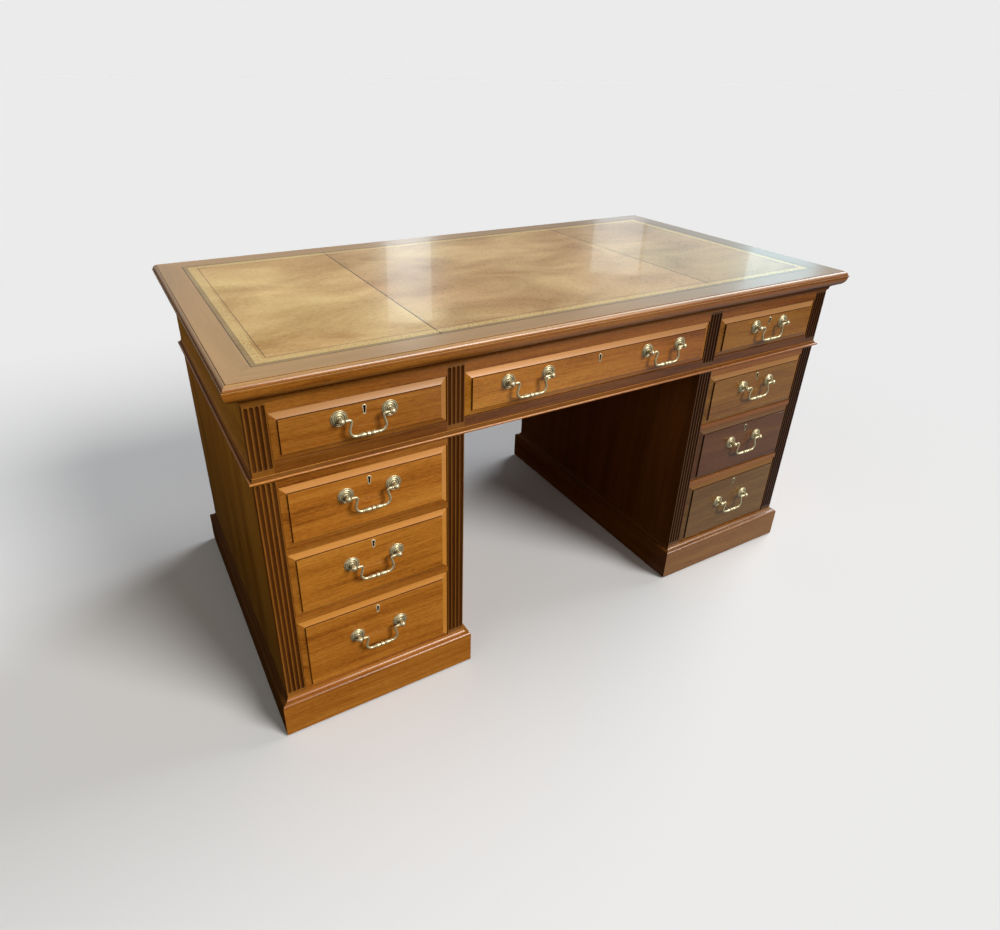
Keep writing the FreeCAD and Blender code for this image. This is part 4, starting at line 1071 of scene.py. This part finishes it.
class DESK_OT_handles(bpy.types.Operator):
    """Build the ringed rosettes, the ball posts and the swan-neck bails."""

    bl_idname = "desk.handles"
    bl_label = "Handles"

    def execute(self, context):
        need(*BAILS, *[f"{d}_fittings" for d in DRAWERS])
        look = context.scene.desk_brass
        brass = finish_of("antique_brass")
        plate, swing, tail = rosette(), bail(), nut()
        posts = {-1: post(1), 1: post(-1)}
        for joint in frame["joints"]:
            if joint["child"] not in BAILS:
                continue
            pivot, drawer, name = Vector(joint["pos_m"]), joint["parent"], joint["child"]
            plates, stands, nuts = [], [], []
            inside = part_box(f"{drawer}_front")[1].y
            for side, stand in posts.items():
                where = pivot + Vector((side * look.spread / 2, look.stand, 0))
                plates.append(moved(plate, where))
                stands.append(moved(stand, where))
                nuts.append(moved(tail, Vector((where.x, inside, where.z))))
            fittings = [f"{drawer}_fittings"]
            piece(f"brass_{name}_rosettes", join(plates), [brass], drawer, fittings, sharp=60)
            piece(f"brass_{name}_posts", join(stands), [brass], drawer, fittings, sharp=40)
            piece(f"brass_{name}_nuts", join(nuts), [brass], drawer, fittings)
            piece(f"brass_{name}", moved(swing, pivot), [brass], name, [name], sharp=50)
        for bm in (plate, swing, tail, *posts.values()):
            bm.free()
        return {"FINISHED"}


class DESK_OT_locks(bpy.types.Operator):
    """Build the keyhole escutcheons, the lock cases and the lock bolts."""

    bl_idname = "desk.locks"
    bl_label = "Locks"

    def execute(self, context):
        brass = finish_of("antique_brass")
        ring = keyhole_ring()
        for drawer in DRAWERS:
            fittings, bolt = f"{drawer}_fittings", f"{drawer}_lock_bolt"
            need(fittings, bolt)
            small = {}
            for faces in solids(fittings):
                low, high = extent(faces)
                if high.x - low.x < ESCUTCHEON_WIDTH and high.y > ESCUTCHEON_BACK:
                    small["escutcheon"] = faces
                elif high.x - low.x > LOCK_WIDTH:
                    small["lock_case"] = faces
            low, high = extent(small["escutcheon"])
            spot = Vector(((low.x + high.x) / 2, low.y, (low.z + high.z) / 2))
            # Painted light: the escutcheons on the left and in the middle are pale rubbed brass, the ones on
            # the right dark as painted shade.
            rim = [finish_of("antique_brass" if drawer.startswith("right") else "rubbed_brass")]
            bm = moved(ring, spot)
            piece(f"brass_{drawer}_escutcheon", bm, rim, drawer, [fittings], sharp=50)
            bm = solid_mesh(small["lock_case"])
            rub_edges(bm, RADIUS["lock_case"])
            piece(f"brass_{drawer}_lock_case", bm, [brass], drawer, [fittings])
            bm = solid_mesh(solids(bolt)[0])
            rub_edges(bm, RADIUS["lock_bolt"])
            piece(f"brass_{bolt}", bm, [brass], bolt, [bolt])
        ring.free()
        return {"FINISHED"}


class DESK_OT_glides(bpy.types.Operator):
    """Build the glides under the plinths."""

    bl_idname = "desk.glides"
    bl_label = "Glides"

    def execute(self, context):
        need("glides")
        parts = []
        for faces in solids("glides"):
            bm = solid_mesh(faces)
            rub_edges(bm, RADIUS["glide"])
            parts.append(bm)
        piece("nylon_glides", join(parts), [finish_of("pale_nylon")], "desk", ["glides"])
        return {"FINISHED"}


class DESK_OT_stage(bpy.types.Operator):
    """Set the camera, the lights, the pale floor and the backdrop."""

    bl_idname = "desk.stage"
    bl_label = "Stage"

    def panel(self, name, where, towards, size, brightness, tint):
        """Hang a pale panel that faces a point and is seen only in the polish."""
        data = bpy.data.lights.new(name, "AREA")
        data.shape, data.color = "RECTANGLE", tint
        data.size, data.size_y = size
        data.energy = brightness * math.pi * size[0] * size[1]
        made = bpy.data.objects.new(name, data)
        made.location = where
        made.rotation_euler = (Vector(towards) - made.location).to_track_quat("-Z", "Y").to_euler()
        made.visible_camera = made.visible_diffuse = False
        bpy.context.scene.collection.objects.link(made)

    def far_light(self, name, brightness, spread, heading, tint):
        """Add a light so far away that its rays run one way."""
        data = bpy.data.lights.new(name, "SUN")
        data.energy, data.angle, data.color = brightness, math.radians(spread), tint
        made = bpy.data.objects.new(name, data)
        made.rotation_euler = Vector(heading).to_track_quat("-Z", "Y").to_euler()
        bpy.context.scene.collection.objects.link(made)

    def execute(self, context):
        scene, look = context.scene, context.scene.desk_stage
        lens = bpy.data.cameras.new("camera")
        lens.lens, lens.sensor_width = look.lens, SENSOR_WIDTH
        lens.shift_x, lens.shift_y = CAMERA_SHIFT
        camera = bpy.data.objects.new("camera", lens)
        scene.collection.objects.link(camera)
        turn = Euler([math.radians(a) for a in CAMERA_TURN])
        camera.matrix_world = Matrix.Translation(CAMERA_PLACE) @ turn.to_matrix().to_4x4()
        scene.camera = camera

        bm = bmesh.new()
        bmesh.ops.create_grid(bm, x_segments=1, y_segments=1, size=FLOOR_REACH)
        mesh = bpy.data.meshes.new("floor")
        bm.to_mesh(mesh)
        bm.free()
        floor = bpy.data.objects.new("floor", mesh)
        scene.collection.objects.link(floor)
        paper, node = new_material("matt_paper")
        seen = node("LightPath")["Is Camera Ray"]
        tinted = node("Mix", {"Factor": seen, "A": look.boards, "B": look.floor}, data_type="RGBA")
        surface = node("BsdfDiffuse", {"Color": tinted})
        node("OutputMaterial", {"Surface": surface})
        mesh.materials.append(paper)

        for name, spread, heading, tint in FAR_LIGHTS:
            self.far_light(name, getattr(look, name), spread, heading, tint)
        for name, where, towards, size, times, tint in PANELS:
            self.panel(name, where, towards, size, times * look.window, tint)

        world = bpy.data.worlds.new("surroundings")
        world.use_nodes = True
        world.node_tree.nodes.clear()
        node = partial(add, world.node_tree)
        ray = node("LightPath")
        white = linear("#FFFFFF")
        soft = node("Background", {"Color": white, "Strength": look.sky})
        room = node("Background", {"Color": white, "Strength": look.sheen})
        plain = node("Background", {"Color": look.paper, "Strength": 1})
        mixed = node("MixShader", {0: ray["Is Glossy Ray"], 1: soft, 2: room})
        mixed = node("MixShader", {0: ray["Is Camera Ray"], 1: mixed, 2: plain})
        node("OutputWorld", {"Surface": mixed})
        scene.world = world
        scene.view_settings.view_transform = "Standard"
        return {"FINISHED"}


GROUPS = {
    "desk_wood": WoodSettings,
    "desk_leather": LeatherSettings,
    "desk_brass": BrassSettings,
    "desk_stage": StageSettings,
}
BUILDERS = (
    DESK_OT_carcass,
    DESK_OT_pilasters,
    DESK_OT_leather,
    DESK_OT_drawers,
    DESK_OT_handles,
    DESK_OT_locks,
    DESK_OT_glides,
    DESK_OT_stage,
)


class DESK_PT_sidebar(bpy.types.Panel):
    """Settings and builders of the desk's looks."""

    bl_label = "Pedestal Desk"
    bl_idname = "DESK_PT_sidebar"
    bl_space_type = "VIEW_3D"
    bl_region_type = "UI"
    bl_category = "Desk"

    def draw(self, context):
        for group in GROUPS:
            settings = getattr(context.scene, group)
            box = self.layout.box()
            for name in settings.bl_rna.properties.keys():
                if name not in ("rna_type", "name"):
                    box.prop(settings, name)
        for builder in BUILDERS:
            self.layout.operator(builder.bl_idname)


CLASSES = (*GROUPS.values(), *BUILDERS, DESK_PT_sidebar)


def register():
    """Make the settings, builders and panel known to Blender."""
    for kind in CLASSES:
        bpy.utils.register_class(kind)
    for name, kind in GROUPS.items():
        setattr(bpy.types.Scene, name, PointerProperty(type=kind))


def unregister():
    """Take the settings, builders and panel away again."""
    for name in GROUPS:
        delattr(bpy.types.Scene, name)
    for kind in reversed(CLASSES):
        bpy.utils.unregister_class(kind)


def main():
    """Build everything."""
    register()
    bpy.ops.desk.carcass()
    bpy.ops.desk.pilasters()
    bpy.ops.desk.leather()
    bpy.ops.desk.drawers()
    bpy.ops.desk.handles()
    bpy.ops.desk.locks()
    bpy.ops.desk.glides()
    bpy.ops.desk.stage()


if __name__ == "__main__":
    main()
